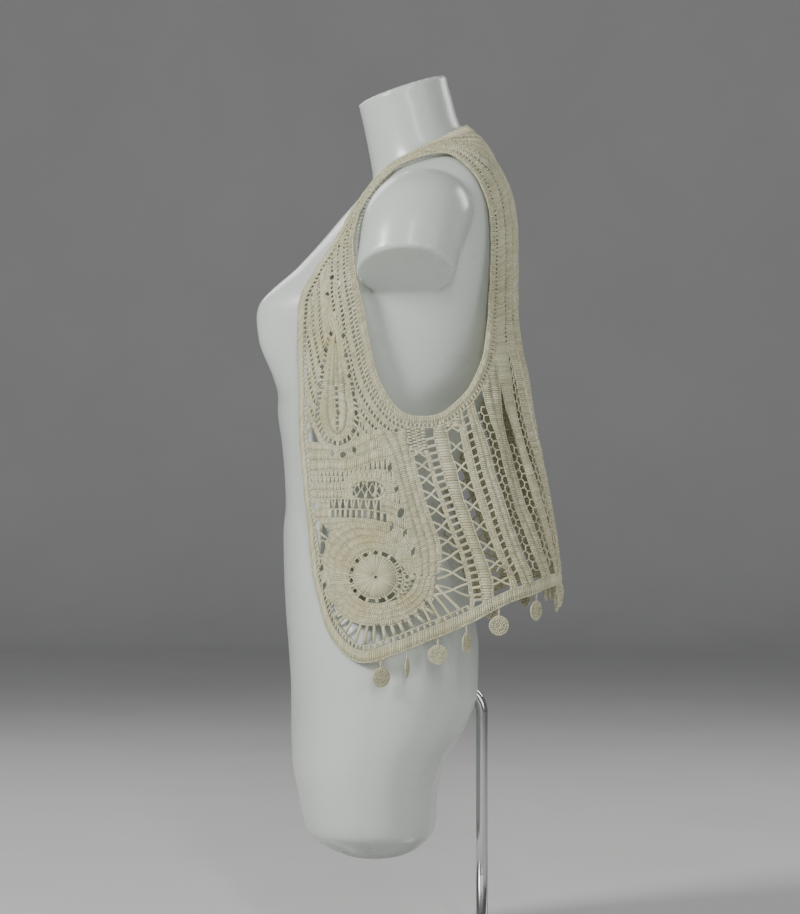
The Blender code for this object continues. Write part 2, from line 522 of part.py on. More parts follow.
def form_solid(mat):
    """The torso's rings, the neck cut and the two arm stubs, joined and made one smooth skin."""
    steps, around = 100, 72
    t = np.linspace(0, len(FORM) - 1, steps)
    phi = np.arange(around) * 2 * math.pi / around
    row = rows(FORM, t)
    p = ring(row[:, None, :], phi[None, :])
    front = np.clip(np.cos(phi) * 2.2, 0, 1)[None, :]
    front = front * front * (3 - 2 * front)
    stand_out = row[:, None, 8] * np.exp(-(((np.abs(p[..., 0]) - BUST_X) / BUST_WIDE) ** 2)) * front
    p[..., 1] -= stand_out
    points = p.reshape(-1, 3)
    faces = []
    for i in range(steps - 1):
        for j in range(around):
            k = (j + 1) % around
            faces.append((i * around + j, (i + 1) * around + j, (i + 1) * around + k, i * around + k))
    top, low = len(points), len(points) + 1
    cap = p[0].mean(0) + [0, -0.0012, 0.0035]
    points = np.vstack([points, cap, p[-1].mean(0) + [0, 0, -0.0010]])
    for j in range(around):
        k = (j + 1) % around
        faces.append((top, j, k))
        faces.append((low, (steps - 1) * around + k, (steps - 1) * around + j))
    body = add("dress_form", points, faces, mat)
    fix_normals(body)
    for side in (1, -1):
        pts, fcs, m = [], [], 32
        for x, y, z, fb, ac, lean in rows(np.array(STUB), np.linspace(0, len(STUB) - 1, 17)):
            a = math.radians(lean)
            for j in range(m):
                q = j * 2 * math.pi / m
                pts.append((side * (x + ac * math.sin(q) * math.sin(a)), y + fb * math.cos(q), z + ac * math.sin(q) * math.cos(a)))
        for i in range(16):
            for j in range(m):
                k = (j + 1) % m
                fcs.append((i * m + j, i * m + k, (i + 1) * m + k, (i + 1) * m + j))
        fcs.append(tuple(range(m))[::-1])
        fcs.append(tuple(range(16 * m, 17 * m)))
        stub = add("stub_tool", pts, fcs, mat)
        fix_normals(stub)
        join(body, stub, "UNION")
    remesh = body.modifiers.new("skin", "REMESH")
    remesh.mode = "VOXEL"
    remesh.voxel_size = 0.0045
    apply(body, remesh)
    soften(body, 14)
    slim = body.modifiers.new("slim", "DECIMATE")
    slim.ratio = 2700 / sum(len(f.vertices) - 2 for f in body.data.polygons)
    apply(body, slim)
    return body


def soften(obj, times):
    """Evens the skin without shrinking it: each pass pulls in and lets out again."""
    mesh = obj.data
    n = len(mesh.vertices)
    p = np.empty(n * 3)
    mesh.vertices.foreach_get("co", p)
    p = p.reshape(-1, 3)
    e = np.array([tuple(x.vertices) for x in mesh.edges])
    count = np.bincount(e.ravel(), minlength=n)[:, None]
    for i in range(times):
        for f in (0.55, -0.57):
            total = np.zeros_like(p)
            np.add.at(total, e[:, 0], p[e[:, 1]])
            np.add.at(total, e[:, 1], p[e[:, 0]])
            p = p + f * (total / count - p)
    mesh.vertices.foreach_set("co", p.ravel())
    mesh.update()


def fix_normals(obj):
    b = bmesh.new()
    b.from_mesh(obj.data)
    bmesh.ops.recalc_face_normals(b, faces=b.faces)
    b.to_mesh(obj.data)
    b.free()


def apply(obj, modifier):
    bpy.context.view_layer.objects.active = obj
    bpy.ops.object.modifier_apply(modifier=modifier.name)


def join(obj, tool, operation):
    m = obj.modifiers.new("join", "BOOLEAN")
    m.operation, m.solver, m.object = operation, "EXACT", tool
    apply(obj, m)
    bpy.data.objects.remove(tool)


def tube(name, path, radius, m, mat):
    path = np.array(path, float)
    way = np.gradient(path, axis=0)
    way /= np.linalg.norm(way, axis=1, keepdims=True)
    side = np.array([1.0, 0, 0])
    points, faces = [], []
    for p, w in zip(path, way):
        up = np.cross(side, w)
        for j in range(m):
            a = j * 2 * math.pi / m
            points.append(p + radius * (side * math.cos(a) + up * math.sin(a)))
    for i in range(len(path) - 1):
        for j in range(m):
            k = (j + 1) % m
            faces.append((i * m + j, i * m + k, (i + 1) * m + k, (i + 1) * m + j))
    faces += [tuple(range(m))[::-1], tuple(range((len(path) - 1) * m, len(path) * m))]
    obj = add(name, points, faces, mat)
    fix_normals(obj)
    return obj


def rod_path(end_y):
    bend = [(0, 0.062 + 0.028 * math.cos(a), 0.262 + 0.028 * math.sin(a)) for a in np.linspace(0, math.pi / 2, 7)]
    return [(0, 0.090, 0.0030), (0, 0.090, 0.12)] + bend + [(0, end_y, 0.290)]


def disc(name, x, y, r, height, m, mat):
    points = [(x + r * math.cos(a), y + r * math.sin(a), z) for z in height for a in np.arange(m) * 2 * math.pi / m]
    faces = [(j, (j + 1) % m, m + (j + 1) % m, m + j) for j in range(m)]
    faces += [tuple(range(m))[::-1], tuple(range(m, 2 * m))]
    return add(name, points, faces, mat)


def dangler(name, top, out, along, turn, mat):
    """A worked disc on its stem, hanging straight down from top; out is the way the hem faces, along the way it runs."""
    a = math.atan2(out[1], out[0]) + math.radians(turn)
    face = np.array([math.cos(a), math.sin(a), 0])
    side = np.array([-math.sin(a), math.cos(a), 0])
    half = 0.0015
    under = np.cross(along, out)
    corners = [side * half * a + face * DISC_THICK / 2 * b for a in (1, -1) for b in (1, -1)]
    top = top - [0, 0, 0.0003 + max(c @ under / under[2] for c in corners)]
    start = math.asin(half / DISC_R)
    outline = [(half, 0), (-half, 0)]
    for t in np.linspace(start, 2 * math.pi - start, 13):
        outline.append((-DISC_R * math.sin(t), -STEM - DISC_R + DISC_R * math.cos(t)))
    n = len(outline)
    points = []
    for sign in (1, -1):
        for u, v in outline:
            points.append(top + side * u + np.array([0, 0, v]) + face * sign * DISC_THICK / 2)
    faces = [tuple(range(n)), tuple(range(n, 2 * n))[::-1]]
    faces += [(j, j + n, (j + 1) % n + n, (j + 1) % n) for j in range(n)]
    obj = add(name, points, faces, mat)
    fix_normals(obj)
    return obj


def put_in(pair, at, point):
    """A line of (inner, outer) point pairs with this inner point put in, and its index."""
    i = int(at)
    f = at - i
    row = pair[i] * (1 - f) + pair[(i + 1) % len(pair)] * f
    row[:2] = point
    near = i if f < 0.3 else i + 1 if f > 0.7 else None
    if near is not None and near < len(pair):
        pair = pair.copy()
        pair[near, :2] = point
        return pair, near
    return np.insert(pair, i + 1, row, 0), i + 1


def line_between(line, first, last):
    """The line's own points strictly between two fractional places on it."""
    return line[math.ceil(first + 0.3) : math.floor(last - 0.3) + 1]


def outlines(cloth):
    """The edge's and the armhole's lines as (inner, outer) pairs, and the three pieces' closed loops."""
    line = np.vstack([np.array(NECK, float), cloth.place(EDGE), np.array(HEM_END, float)])
    outer = cloth.resample(line, 0.0118)
    outer[0, 0] = outer[-1, 0] = 180.0
    s = cloth.lengths(outer)
    hem = np.clip((s / s[-1] - 0.60) / 0.06, 0, 1)
    inner = cloth.moved(outer, np.zeros(len(s)), -(BORDER + (HEM - BORDER) * hem), cloth.ways(outer))
    inner[0, 0] = inner[-1, 0] = 180.0
    edge = np.hstack([inner, outer])
    arm = cloth.resample(np.array(ARMHOLE, float), 0.0125, closed=True)
    far = cloth.moved(arm, np.zeros(len(arm)), np.full(len(arm), BAND), cloth.ways(arm, True))
    band = np.hstack([far, arm])

    seams, places = [], []
    for table in (SEAM_FRONT, SEAM_BACK):
        seam = cloth.resample(cloth.place(table), 0.011)
        half = len(edge) // 2
        p, i, j = crossing(edge[half:, :2], seam)
        edge, at_edge = put_in(edge, i + half, p)
        q, ia, ja = crossing(band[:, :2], seam)
        band, at_band = put_in(band, ia, q)
        seams.append(line_between(seam, ja, j))
        places.append((at_edge, at_band))
    (e1, a1), (e2, a2) = places
    neck = int(np.argmin(np.abs(edge[: len(edge) // 4, 2] - 90)))
    n, a = edge[:, :2], band[:, :2]
    ridge = n[neck] + (a[0] - n[neck]) * np.linspace(0, 1, 5)[1:-1, None]
    centre = n[-1] + (n[0] - n[-1]) * np.linspace(0, 1, 36)[1:-1, None]
    front = np.vstack([n[neck : e1 + 1], seams[0][::-1], a[a1::-1], ridge[::-1]])
    side = np.vstack([n[e1 : e2 + 1], seams[1][::-1], a[a2 : a1 - 1 : -1], seams[0]])
    back = np.vstack([n[e2:], centre, n[: neck + 1], ridge, a[:1], a[: a2 - 1 : -1], seams[1]])
    return edge, band, {"front_panel": front, "side_panel": side, "back_panel": back}


def openings(cloth):
    """The cut openings of each piece: the largest of each repeat."""
    front = [seen_hole(cloth, *h, n=6 if min(h[2:4]) > 5.2 else 4) for h in FRONT]
    x, y, r = WHEEL
    for a in WHEEL_AT:
        front.append(seen_hole(cloth, x + r * math.cos(math.radians(a)), y + r * math.sin(math.radians(a)), 5.4, 5.4, n=4))
    front += [seen_hole(cloth, x, y, 4.8, 7.0, n=4) for x, y in DROP_LEFT + DROP_RIGHT + DROP_MIDDLE]
    side = [seen_hole(cloth, *h, n=4 if h[3] > 9.2 and h[2] < 12 and h[0] > 452.5 else 6) for h in TRELLIS]
    slot = [(a * 0.0018, b * 0.0042) for a, b in ((1, 1), (1, -1), (-1, -1), (-1, 1))]
    side += row_holes(cloth, cloth.place(LADDER), 0.0078, 0.006, 0.19, slot)
    cell = oval(0.0070, 0.0058, 4)
    back = row_holes(cloth, cloth.place(NETS[1]), 0.0086, 0.022, 0.163, cell)
    for k, first, last in ((2, 0.088, 0.184), (3, 0.076, 0.134)):
        line = cloth.place(NETS[k])
        for across, stagger in ((0.0034, 0.0), (-0.0034, 0.0048)):
            back += row_holes(cloth, line, 0.0096, first, last, cell, across, stagger)
    return {"front_panel": front, "side_panel": side, "back_panel": back}


def apart(cloth, holes, loop, least=0.0009):
    """The holes that stand clear of the piece's edge and of those before them."""
    kept = []
    for h in holes:
        f = flat(h)
        near = [flat(loop)] + [flat(k) for k in kept if np.abs(flat(k).mean(0) - f.mean(0)).max() < 0.03]
        ends = np.vstack([f, (f + np.roll(f, -1, 0)) / 2])
        if inside(f, flat(loop)).all() and gap_to(ends, near).min() > least and not any(inside(k[:1], f)[0] for k in near[1:]):
            kept.append(h)
        else:
            print("left out at", np.round(h.mean(0), 1), np.round(project(cloth(h.mean(0))), 0).tolist())
    return kept


def discs(cloth, edge, mat):
    """The discs along the hem: stem tops under the hem's edge at an even pitch."""
    hem = edge[len(edge) // 2 :, 2:]
    fine = rows(hem, np.arange(0, len(hem) - 1 + 1e-9, 0.05))
    at = cloth(fine)
    s = np.r_[0, np.cumsum(np.linalg.norm(np.diff(at, axis=0), axis=1))]
    seen = project(at)
    low = int(np.argmax(seen[:, 1]))
    marks = []
    for across, turn in DISCS:
        i = low + int(np.argmin(np.abs(seen[low:, 0] - across)))
        marks.append((s[i], turn))
    rest = s[-1] - marks[-1][0]
    count = round(rest / DISC_PITCH - 0.5)
    pitch = rest / (count + 0.5)
    print("pitch behind", round(pitch * 1000, 1), "mm; between those seen", np.round(np.diff([m[0] for m in marks]) * 1000, 1))
    for k in range(count):
        marks.append((marks[-1][0] + pitch, (38, -20, 12, -33, 6)[k % 5]))
    out, along = cloth.normal(fine), np.gradient(at, axis=0)
    number = 0
    for d, turn in marks:
        p, n, t = (np.array([np.interp(d, s, v[:, c]) for c in range(3)]) for v in (at, out, along))
        for sign in (1, -1):
            number += 1
            dangler(f"disc_{number:02d}", p * [sign, 1, 1], n * [sign, 1, 1], t * [sign, 1, 1], turn * sign, mat)
    print(number, "discs")


def gap_to_form(obj, tree):
    gaps = []
    for v in obj.data.vertices:
        near, facing, _face, _away = tree.find_nearest(v.co)
        gaps.append((v.co - near).dot(facing))
    return min(gaps)


def main():
    for o in list(bpy.data.objects):
        bpy.data.objects.remove(o)
    yarn = material("yarn", (0.67, 0.63, 0.45), 0.9)
    shell = material("shell", (0.60, 0.65, 0.61), 0.25)
    chrome = material("chrome", (0.55, 0.56, 0.55), 0.15, 1.0)
    plate = material("plate", (0.60, 0.61, 0.60), 0.3, 1.0)

    body = form_solid(shell)
    b = bmesh.new()
    b.from_mesh(body.data)
    bmesh.ops.triangulate(b, faces=b.faces)
    tree = BVHTree.FromBMesh(b)
    b.free()
    join(body, tube("socket_tool", rod_path(0.028)[1:], 0.0071, 14, shell), "DIFFERENCE")
    tube("stand_rod", rod_path(0.034), 0.0065, 14, chrome)
    base = disc("stand_base", 0, 0, 0.190, (0, 0.008), 48, plate)
    join(base, disc("hole_tool", 0, 0.090, 0.0070, (0.0025, 0.02), 14, plate), "DIFFERENCE")

    cloth = Cloth()
    cloth.keep_clear(tree)
    edge, band, loops = outlines(cloth)
    cut = openings(cloth)
    total = 0
    for name, loop in loops.items():
        holes = apart(cloth, cut[name], loop)
        total += 2 * len(holes)
        worked(cloth, name, loop, holes, WALL, yarn)
    print(total, "openings cut")
    side = np.full(len(band), SEAM)
    far = cloth.moved(band[:, :2], 0 * side, -side, cloth.ways(band[:, :2], True))
    strip(cloth, "armhole_band", band[:, 2:], far, BAND_WALL, True, yarn)
    side = np.full(len(edge), SEAM)
    inner = cloth.moved(edge[:, :2], 0 * side, side, cloth.ways(edge[:, :2]))
    outer = edge[:, 2:].copy()
    for line in (inner, outer):
        line[0, 0] = line[-1, 0] = 180 - 0.2
    strip(cloth, "edge_band", outer, inner, BORDER_WALL, False, yarn)
    discs(cloth, edge, yarn)

    for o in bpy.context.scene.collection.objects:
        if o.name.startswith(("front", "side", "back", "armhole", "edge")):
            print(o.name, "nearest the form", round(gap_to_form(o, tree) * 1000, 2), "mm")


if __name__ == "__main__":
    main()
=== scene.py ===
"""Looks of an open-fronted crocheted lace vest with hanging discs, on a limbless dress form.

Metres, +Z up, +X the wearer's left, -Y the front. The lace is worked stitch by stitch: posts, bars
and ropes of yarn laid over the middle of the cloth's wall, left half first and mirrored.
Guide tables are read off one side view. Their (across, down) count squares of 1.1 mm in the plane
x = 0, seen from 3.6 m on the wearer's left at 0.543 m height, with square AHEAD straight ahead.
"""

import math

import bmesh
import bpy
import numpy as np
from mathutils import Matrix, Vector
from mathutils.bvhtree import BVHTree

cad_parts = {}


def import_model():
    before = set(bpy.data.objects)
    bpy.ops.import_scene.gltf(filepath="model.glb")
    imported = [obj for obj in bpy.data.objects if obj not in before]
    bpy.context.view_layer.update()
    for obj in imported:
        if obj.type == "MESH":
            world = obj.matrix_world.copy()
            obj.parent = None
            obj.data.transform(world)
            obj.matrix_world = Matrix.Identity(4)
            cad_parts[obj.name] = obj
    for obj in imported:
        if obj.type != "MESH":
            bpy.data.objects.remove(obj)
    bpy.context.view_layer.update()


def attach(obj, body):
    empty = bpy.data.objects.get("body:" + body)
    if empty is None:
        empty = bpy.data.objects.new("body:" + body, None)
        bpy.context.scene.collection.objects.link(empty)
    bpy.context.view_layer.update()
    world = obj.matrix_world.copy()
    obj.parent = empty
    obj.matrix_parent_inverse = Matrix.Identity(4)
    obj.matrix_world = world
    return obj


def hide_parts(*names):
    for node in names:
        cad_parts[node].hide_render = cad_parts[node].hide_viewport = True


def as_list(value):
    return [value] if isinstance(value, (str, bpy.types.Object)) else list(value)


MM = 0.001
SQUARE, EYE, EYE_UP, AHEAD = 0.0011, 3.6, 0.543, (400, 457)
CLEAR, MOST_PUSH = 0.0021, 0.012  # from the form to the middle of the cloth, and the most it is pushed out
PUSH_ANGLE, PUSH_RING = 3.0, 0.2  # steps of the table of pushes, in degrees and rings
FLAT_ANGLE, FLAT_RING = 0.0029, 0.040  # metres to a degree and to a ring in the pattern plane
FINE = 0.004  # the step at which lines are cut to be worked along
BAND, BORDER, HEM = 0.0118, 0.0072, 0.0115  # widths of armhole band, front and neck border, hem
# Yarn: half widths and half thicknesses, and distances between stitches
POST, POST_THICK, PITCH = 1.22 * MM, 0.95 * MM, 2.3 * MM
THIN = 0.85 * MM
ROPE, ROPE_PITCH = 1.0 * MM, 2.5 * MM
BAR, BAR_THICK = 1.0 * MM, 0.85 * MM
NET_YARN, NET_PITCH, NET_WIDE = 0.72 * MM, 9.6 * MM, 6.3 * MM  # nets: yarn, cell and half width
SINGLE_PITCH, LADDER_PITCH = 8.6 * MM, 7.8 * MM  # from cell to cell in the first net, from slot to slot
OPEN_ROW = 5.6 * MM  # width of the open row beside border and hem
UNDERARM, LOWEST = 8.2, 14.4  # rings where the back's lower nets begin and end
SEEDS = {"front": 11, "side": 23, "back": 37, "edge": 41, "armhole": 43}

# Rings of the form, top to bottom. front and back: y and z of the ring's ends in the side view;
# side_lift raises the ring at its sides; bust: how far each side of the chest stands out.
# front_y front_z back_y back_z half_width power side_lift back_power bust
FORM = np.array([
    (-0.0451, 0.9302, 0.0506, 0.9621, 0.0500, 2.0, 0.000, 2.0, 0),
    (-0.0420, 0.9160, 0.0533, 0.9500, 0.0500, 2.0, 0.000, 2.0, 0),
    (-0.0385, 0.9005, 0.0572, 0.9360, 0.0510, 2.0, 0.000, 2.0, 0),
    (-0.0345, 0.8800, 0.0625, 0.9165, 0.0530, 2.0, -0.001, 2.0, 0),
    (-0.0315, 0.8640, 0.0680, 0.9050, 0.0560, 2.0, -0.004, 2.0, 0),
    (-0.0298, 0.8520, 0.0730, 0.9000, 0.0620, 2.1, -0.007, 2.1, 0),
    (-0.0305, 0.8430, 0.0900, 0.8800, 0.0920, 2.2, 0.003, 2.2, 0.000),
    (-0.0350, 0.8330, 0.1015, 0.8600, 0.1180, 2.4, 0.010, 2.4, 0.002),
    (-0.0440, 0.8190, 0.1120, 0.8390, 0.1390, 2.5, 0.008, 2.7, 0.006),
    (-0.0580, 0.7990, 0.1190, 0.8150, 0.1500, 2.5, 0.003, 2.7, 0.011),
    (-0.0730, 0.7750, 0.1215, 0.7850, 0.1510, 2.4, 0.000, 2.7, 0.018),
    (-0.0880, 0.7480, 0.1215, 0.7520, 0.1480, 2.3, 0.000, 2.7, 0.030),
    (-0.1080, 0.7050, 0.1180, 0.7050, 0.1430, 2.3, 0.000, 2.7, 0.055),
    (-0.1170, 0.6700, 0.1120, 0.6700, 0.1390, 2.3, 0.000, 2.7, 0.046),
    (-0.1258, 0.6300, 0.1005, 0.6300, 0.1350, 2.3, 0.000, 2.7, 0.021),
    (-0.1342, 0.5950, 0.0867, 0.5950, 0.1310, 2.3, 0.000, 2.3, 0),
    (-0.1298, 0.5600, 0.0729, 0.5600, 0.1260, 2.3, 0.000, 2.3, 0),
    (-0.1263, 0.5200, 0.0552, 0.5200, 0.1200, 2.3, 0.000, 2.3, 0),
    (-0.1254, 0.4900, 0.0443, 0.4900, 0.1190, 2.3, 0.000, 2.3, 0),
    (-0.1278, 0.4600, 0.0473, 0.4600, 0.1250, 2.3, 0.000, 2.3, 0),
    (-0.1273, 0.4250, 0.0650, 0.4250, 0.1400, 2.3, 0.000, 2.3, 0),
    (-0.1254, 0.3800, 0.0788, 0.3800, 0.1590, 2.3, 0.000, 2.3, 0),
    (-0.1219, 0.3350, 0.0862, 0.3350, 0.1700, 2.4, 0.000, 2.4, 0),
    (-0.1193, 0.2900, 0.0852, 0.2900, 0.1740, 2.4, 0.000, 2.4, 0),
    (-0.1191, 0.2500, 0.0724, 0.2500, 0.1720, 2.5, 0.000, 2.5, 0),
    (-0.1180, 0.2150, 0.0512, 0.2150, 0.1680, 2.5, 0.000, 2.5, 0),
    (-0.1111, 0.1760, 0.0409, 0.1760, 0.1610, 2.5, 0.000, 2.5, 0),
    (-0.1027, 0.1400, 0.0384, 0.1400, 0.1520, 2.5, 0.000, 2.5, 0),
    (-0.0865, 0.1240, 0.0330, 0.1300, 0.1350, 2.5, 0.000, 2.5, 0),
    (-0.0640, 0.1135, 0.0180, 0.1175, 0.1120, 2.4, 0.000, 2.4, 0),
    (-0.0420, 0.1098, -0.0060, 0.1108, 0.0800, 2.2, 0.000, 2.2, 0),
])
BUST_X, BUST_WIDE = 0.073, 0.050
NECK_RISE, THIGH_DROP = (0, -0.0012, 0.0035), (0, 0, -0.0010)  # of the ends' middles, off their rings
SKIN_VOXEL, SKIN_FACES = 0.0028, 60000  # grid and triangle count of the form's skin
# The left arm's stub, root to cut: centre x y z, half width front-back, half width across,
# lean of the section's plane in degrees
STUB = [
    (0.085, 0.028, 0.800, 0.050, 0.042, 0),
    (0.124, 0.025, 0.804, 0.055, 0.046, 16),
    (0.150, 0.018, 0.793, 0.056, 0.048, 34),
    (0.165, 0.012, 0.768, 0.054, 0.047, 49),
    (0.173, 0.006, 0.736, 0.052, 0.047, 57),
]
# Rings of the middle of the cloth, neck to below the hem
# front_y front_z back_y back_z half_width power side_lift back_power
VEST = np.array([
    (-0.0330, 0.8560, 0.0748, 0.9065, 0.0665, 2.1, -0.004, 2.1),
    (-0.0350, 0.8440, 0.0945, 0.8840, 0.0960, 2.2, 0.005, 2.2),
    (-0.0400, 0.8340, 0.1050, 0.8640, 0.1220, 2.3, 0.012, 2.3),
    (-0.0520, 0.8190, 0.1160, 0.8420, 0.1440, 2.4, 0.010, 2.5),
    (-0.0700, 0.8000, 0.1235, 0.8180, 0.1560, 2.4, 0.004, 2.6),
    (-0.0880, 0.7760, 0.1265, 0.7880, 0.1600, 2.4, 0.000, 2.7),
    (-0.1060, 0.7500, 0.1270, 0.7550, 0.1605, 2.3, 0.000, 2.8),
    (-0.1280, 0.7100, 0.1268, 0.7100, 0.1600, 2.3, 0.000, 3.0),
    (-0.1420, 0.6700, 0.1300, 0.6700, 0.1590, 2.3, 0.000, 3.2),
    (-0.1440, 0.6300, 0.1385, 0.6300, 0.1590, 2.3, 0.000, 3.4),
    (-0.1400, 0.5900, 0.1455, 0.5900, 0.1610, 2.3, 0.000, 3.6),
    (-0.1370, 0.5500, 0.1520, 0.5500, 0.1640, 2.3, 0.000, 3.8),
    (-0.1345, 0.5000, 0.1612, 0.5000, 0.1690, 2.3, 0.000, 4.0),
    (-0.1300, 0.4500, 0.1695, 0.4500, 0.1745, 2.3, 0.000, 4.0),
    (-0.1270, 0.4000, 0.1745, 0.4000, 0.1805, 2.3, 0.000, 4.0),
    (-0.1240, 0.3500, 0.1785, 0.3500, 0.1860, 2.3, 0.000, 4.0),
    (-0.1220, 0.3000, 0.1815, 0.3000, 0.1900, 2.3, 0.000, 4.0),
])
# Soft folds of the cloth: angle at the top and at the bottom in degrees, first and last ring,
# depth inward, half width in degrees
FOLDS = [
    (134.0, 130.0, 8.8, 12.0, 0.0050, 4.5),
    (166.0, 160.0, 9.0, 15.0, 0.0055, 6.0),
    (147.0, 144.0, 10.0, 15.5, -0.0040, 6.0),
    (66.0, 74.0, 11.0, 16.0, -0.0050, 9.0),
]

# The garment's outer edge: neck line to the front edge (angle, ring), then front edge, corner and
# hem (across, down), then the hem's end at the centre back (angle, ring)
NECK = [
    (180, 0.0), (165, 0.0), (148, 0.0), (130, 0.0), (112, 0.02), (97, 0.05), (90, 0.06), (80, 0.10),
    (68, 0.18), (58, 0.36), (49.5, 0.62), (43, 1.0), (38, 1.6), (35.8, 2.4), (37, 3.2), (39.5, 4.0),
    (41.3, 4.8), (41.2, 5.5),
]
EDGE = [
    (321, 266), (311.5, 285), (306.0, 297), (302.3, 313), (299.8, 335), (298.9, 357), (299.3, 380),
    (299.6, 400), (299.8, 420), (300.5, 445), (302.5, 468), (305.3, 498), (308.2, 522), (310.4, 545),
    (313.5, 572), (318.8, 596), (325.8, 620), (333, 636.6), (342, 649), (352, 658.5), (364, 662.5),
    (376, 661.0), (389, 656), (406, 650), (427, 641), (451, 631.5), (475, 620.5), (497, 608.5),
    (515, 600.0), (534, 593.7), (548.5, 587),
]
HEM_END = [(160, 13.74), (170, 13.72), (180, 13.72)]
# The armhole's edge, from the shoulder over the front, round the bottom and up the back, (angle, ring)
ARMHOLE = [
    (90, 1.50), (79, 1.52), (69, 1.68), (60, 1.98), (53.5, 2.45), (50.5, 3.1), (50.5, 3.9), (53, 4.7),
    (57.5, 5.45), (62.5, 6.05), (68.8, 6.64), (75.2, 7.38), (79.0, 8.16), (80.9, 8.93), (83.6, 9.43),
    (87.3, 9.86), (92.5, 10.09), (99, 10.13), (105.0, 10.06), (109.3, 9.89), (113.0, 9.70), (116.8, 9.47),
    (122.6, 8.92), (128.0, 8.25), (131.2, 7.4), (132.2, 6.5), (131.8, 5.5), (130.2, 4.55), (127.0, 3.8),
    (122.0, 3.12), (115.5, 2.52), (107, 1.96), (98.5, 1.62),
]
# Seams between the worked pieces, (across, down), from above the armhole band's outer edge to below the hem
SEAM_FRONT = [
    (405, 424), (408, 440), (411.5, 461.7), (414.5, 474.6), (418.5, 489), (423, 504.7), (428, 520.5),
    (433.5, 536.3), (437.0, 550.6), (436.8, 569.3), (435.6, 585), (434.0, 600), (436.5, 612), (440, 650),
]
SEAM_BACK = [
    (457, 396), (460.5, 410), (463.8, 434.4), (467.8, 457.4), (473, 477.5), (479, 497.6), (485.5, 516.2),
    (493, 537.7), (500.5, 557.8), (508, 575), (514, 592), (520, 612),
]

# Lines that rows of openings follow (across, down): the side's ladder of slots, the back's first three nets
LADDER = [
    (430, 437), (434, 454), (438, 468.6), (442, 483), (449.8, 504), (454.2, 518.5), (462.7, 540),
    (468.6, 554.7), (474.5, 575.3), (478.5, 600),
]
NETS = {
    1: [
        (463.8, 408), (468.8, 427.3), (472.4, 443), (476, 457.4), (479.6, 472.2), (484.6, 488.2),
        (489.4, 502.6), (494, 518.4), (500.8, 538.5), (507.5, 556), (516, 575),
    ],
    2: [
        (480.3, 405.7), (484, 418.7), (489, 431.6), (493.2, 444.5), (496.8, 457.4), (499.7, 471.7),
        (505.4, 489), (509.7, 504.7), (517, 526.3), (522.6, 540.6), (528.4, 556.4), (535.6, 572),
    ],
    3: [
        (511, 440), (517, 460), (522, 477.5), (524.5, 486), (529.8, 503.3), (534, 513.3), (540.6, 533.4),
        (545.5, 550), (551, 568),
    ],
}
# Half width of each of these nets, and points that carry it on above and below (angle, ring)
NET_ENDS = {
    1: (3.4 * MM, [(113.4, 8.2), (114.6, 9.2)], (127.5, 14.2)),
    2: (6.6 * MM, [(119.0, 8.2), (120.6, 9.2)], (134.5, 14.2)),
    3: (6.4 * MM, [(130.6, 8.2), (131.0, 9.2), (131.6, 10.0)], (142.5, 14.2)),
}
# Openings of the side's open-work, centre across down, width, height
TRELLIS = [
    (419.8, 459.5, 6, 5), (424.5, 472.5, 8, 7), (428.6, 487.5, 9, 9), (433.4, 502.6, 9.5, 9.5),
    (438.4, 519, 9, 10.5),
    (444.2, 534.6, 10, 9), (449.6, 549.2, 11, 9), (453.6, 565, 13, 9.5), (455, 582.5, 21, 12),
    (452, 598, 17, 6.5),
    (453.2, 437.3, 8, 8.5), (457.4, 456.7, 9, 12.5), (463.1, 476.8, 9.5, 13), (469.6, 496, 9.5, 13),
    (475.3, 516.2, 9, 13),
    (482.5, 536.3, 10, 13), (489.8, 555.7, 10, 11), (499.0, 573.5, 12.5, 10.5), (502.0, 588.6, 11, 5.2),
]
# Openings of the front piece: centre across down, width, height, turn in degrees
FRONT = [
    (317.0, 505.3, 5.5, 9, 0), (318.5, 526.0, 7, 11, 0), (323.0, 547.8, 7, 15, -8),
    (321.9, 568.5, 4.6, 10, -10), (325.5, 585.5, 4.6, 12, -15),
    (334.0, 609.0, 5, 9, -20), (343.2, 625.5, 7.5, 7.5, 0), (353.2, 629.0, 7, 10, 0),
    (308.2, 401.0, 4.6, 9, 0), (308.4, 426.0, 4.8, 11, 0), (328.0, 294.7, 4.8, 6, -20),
    (332.6, 277.8, 4.6, 7, -25),
    (333.0, 453.0, 4.8, 7, 0), (343.4, 454.7, 7, 7, 0), (354.4, 450.0, 5, 8, 15),
    (357.5, 490.0, 4.8, 9.5, 0), (365.0, 489.3, 4.8, 11, 0), (372.5, 489.8, 4.8, 11, 0),
    (379.5, 491.0, 4.6, 9, 0),
    (390.0, 468.0, 4.8, 12, -12), (396.6, 489.0, 4.6, 9, -15), (400.8, 513.0, 7.5, 12, -18),
    (391.6, 527.5, 4.8, 11, -15), (405.0, 533.0, 4.8, 9, -22), (413.2, 552.0, 4.8, 11, -18),
    (400.0, 571.5, 4.8, 5, 0), (407.0, 577.0, 4.8, 4.8, 0), (399.5, 586.5, 5, 4.8, 0),
    (379.0, 627.5, 5.5, 6, 0), (387.5, 628.0, 4.8, 7, 5), (396.0, 626.5, 4.8, 7.5, 10),
    (404.3, 623.0, 4.8, 8, 20), (412.3, 618.0, 4.8, 8.5, 30), (420.0, 611.5, 4.8, 9, 38),
    (427.0, 603.0, 5, 9, 45),
    (396.5, 430.5, 5.5, 4.6, 0),
]
# The wheel of the front piece: centre, radius of its ring of openings, and the ring's openings in
# degrees clockwise from the right
WHEEL = (375.7, 577.2, 24.3)
WHEEL_AT = [75, 98, 121, 146, 172, 198, 222, 246, 270]
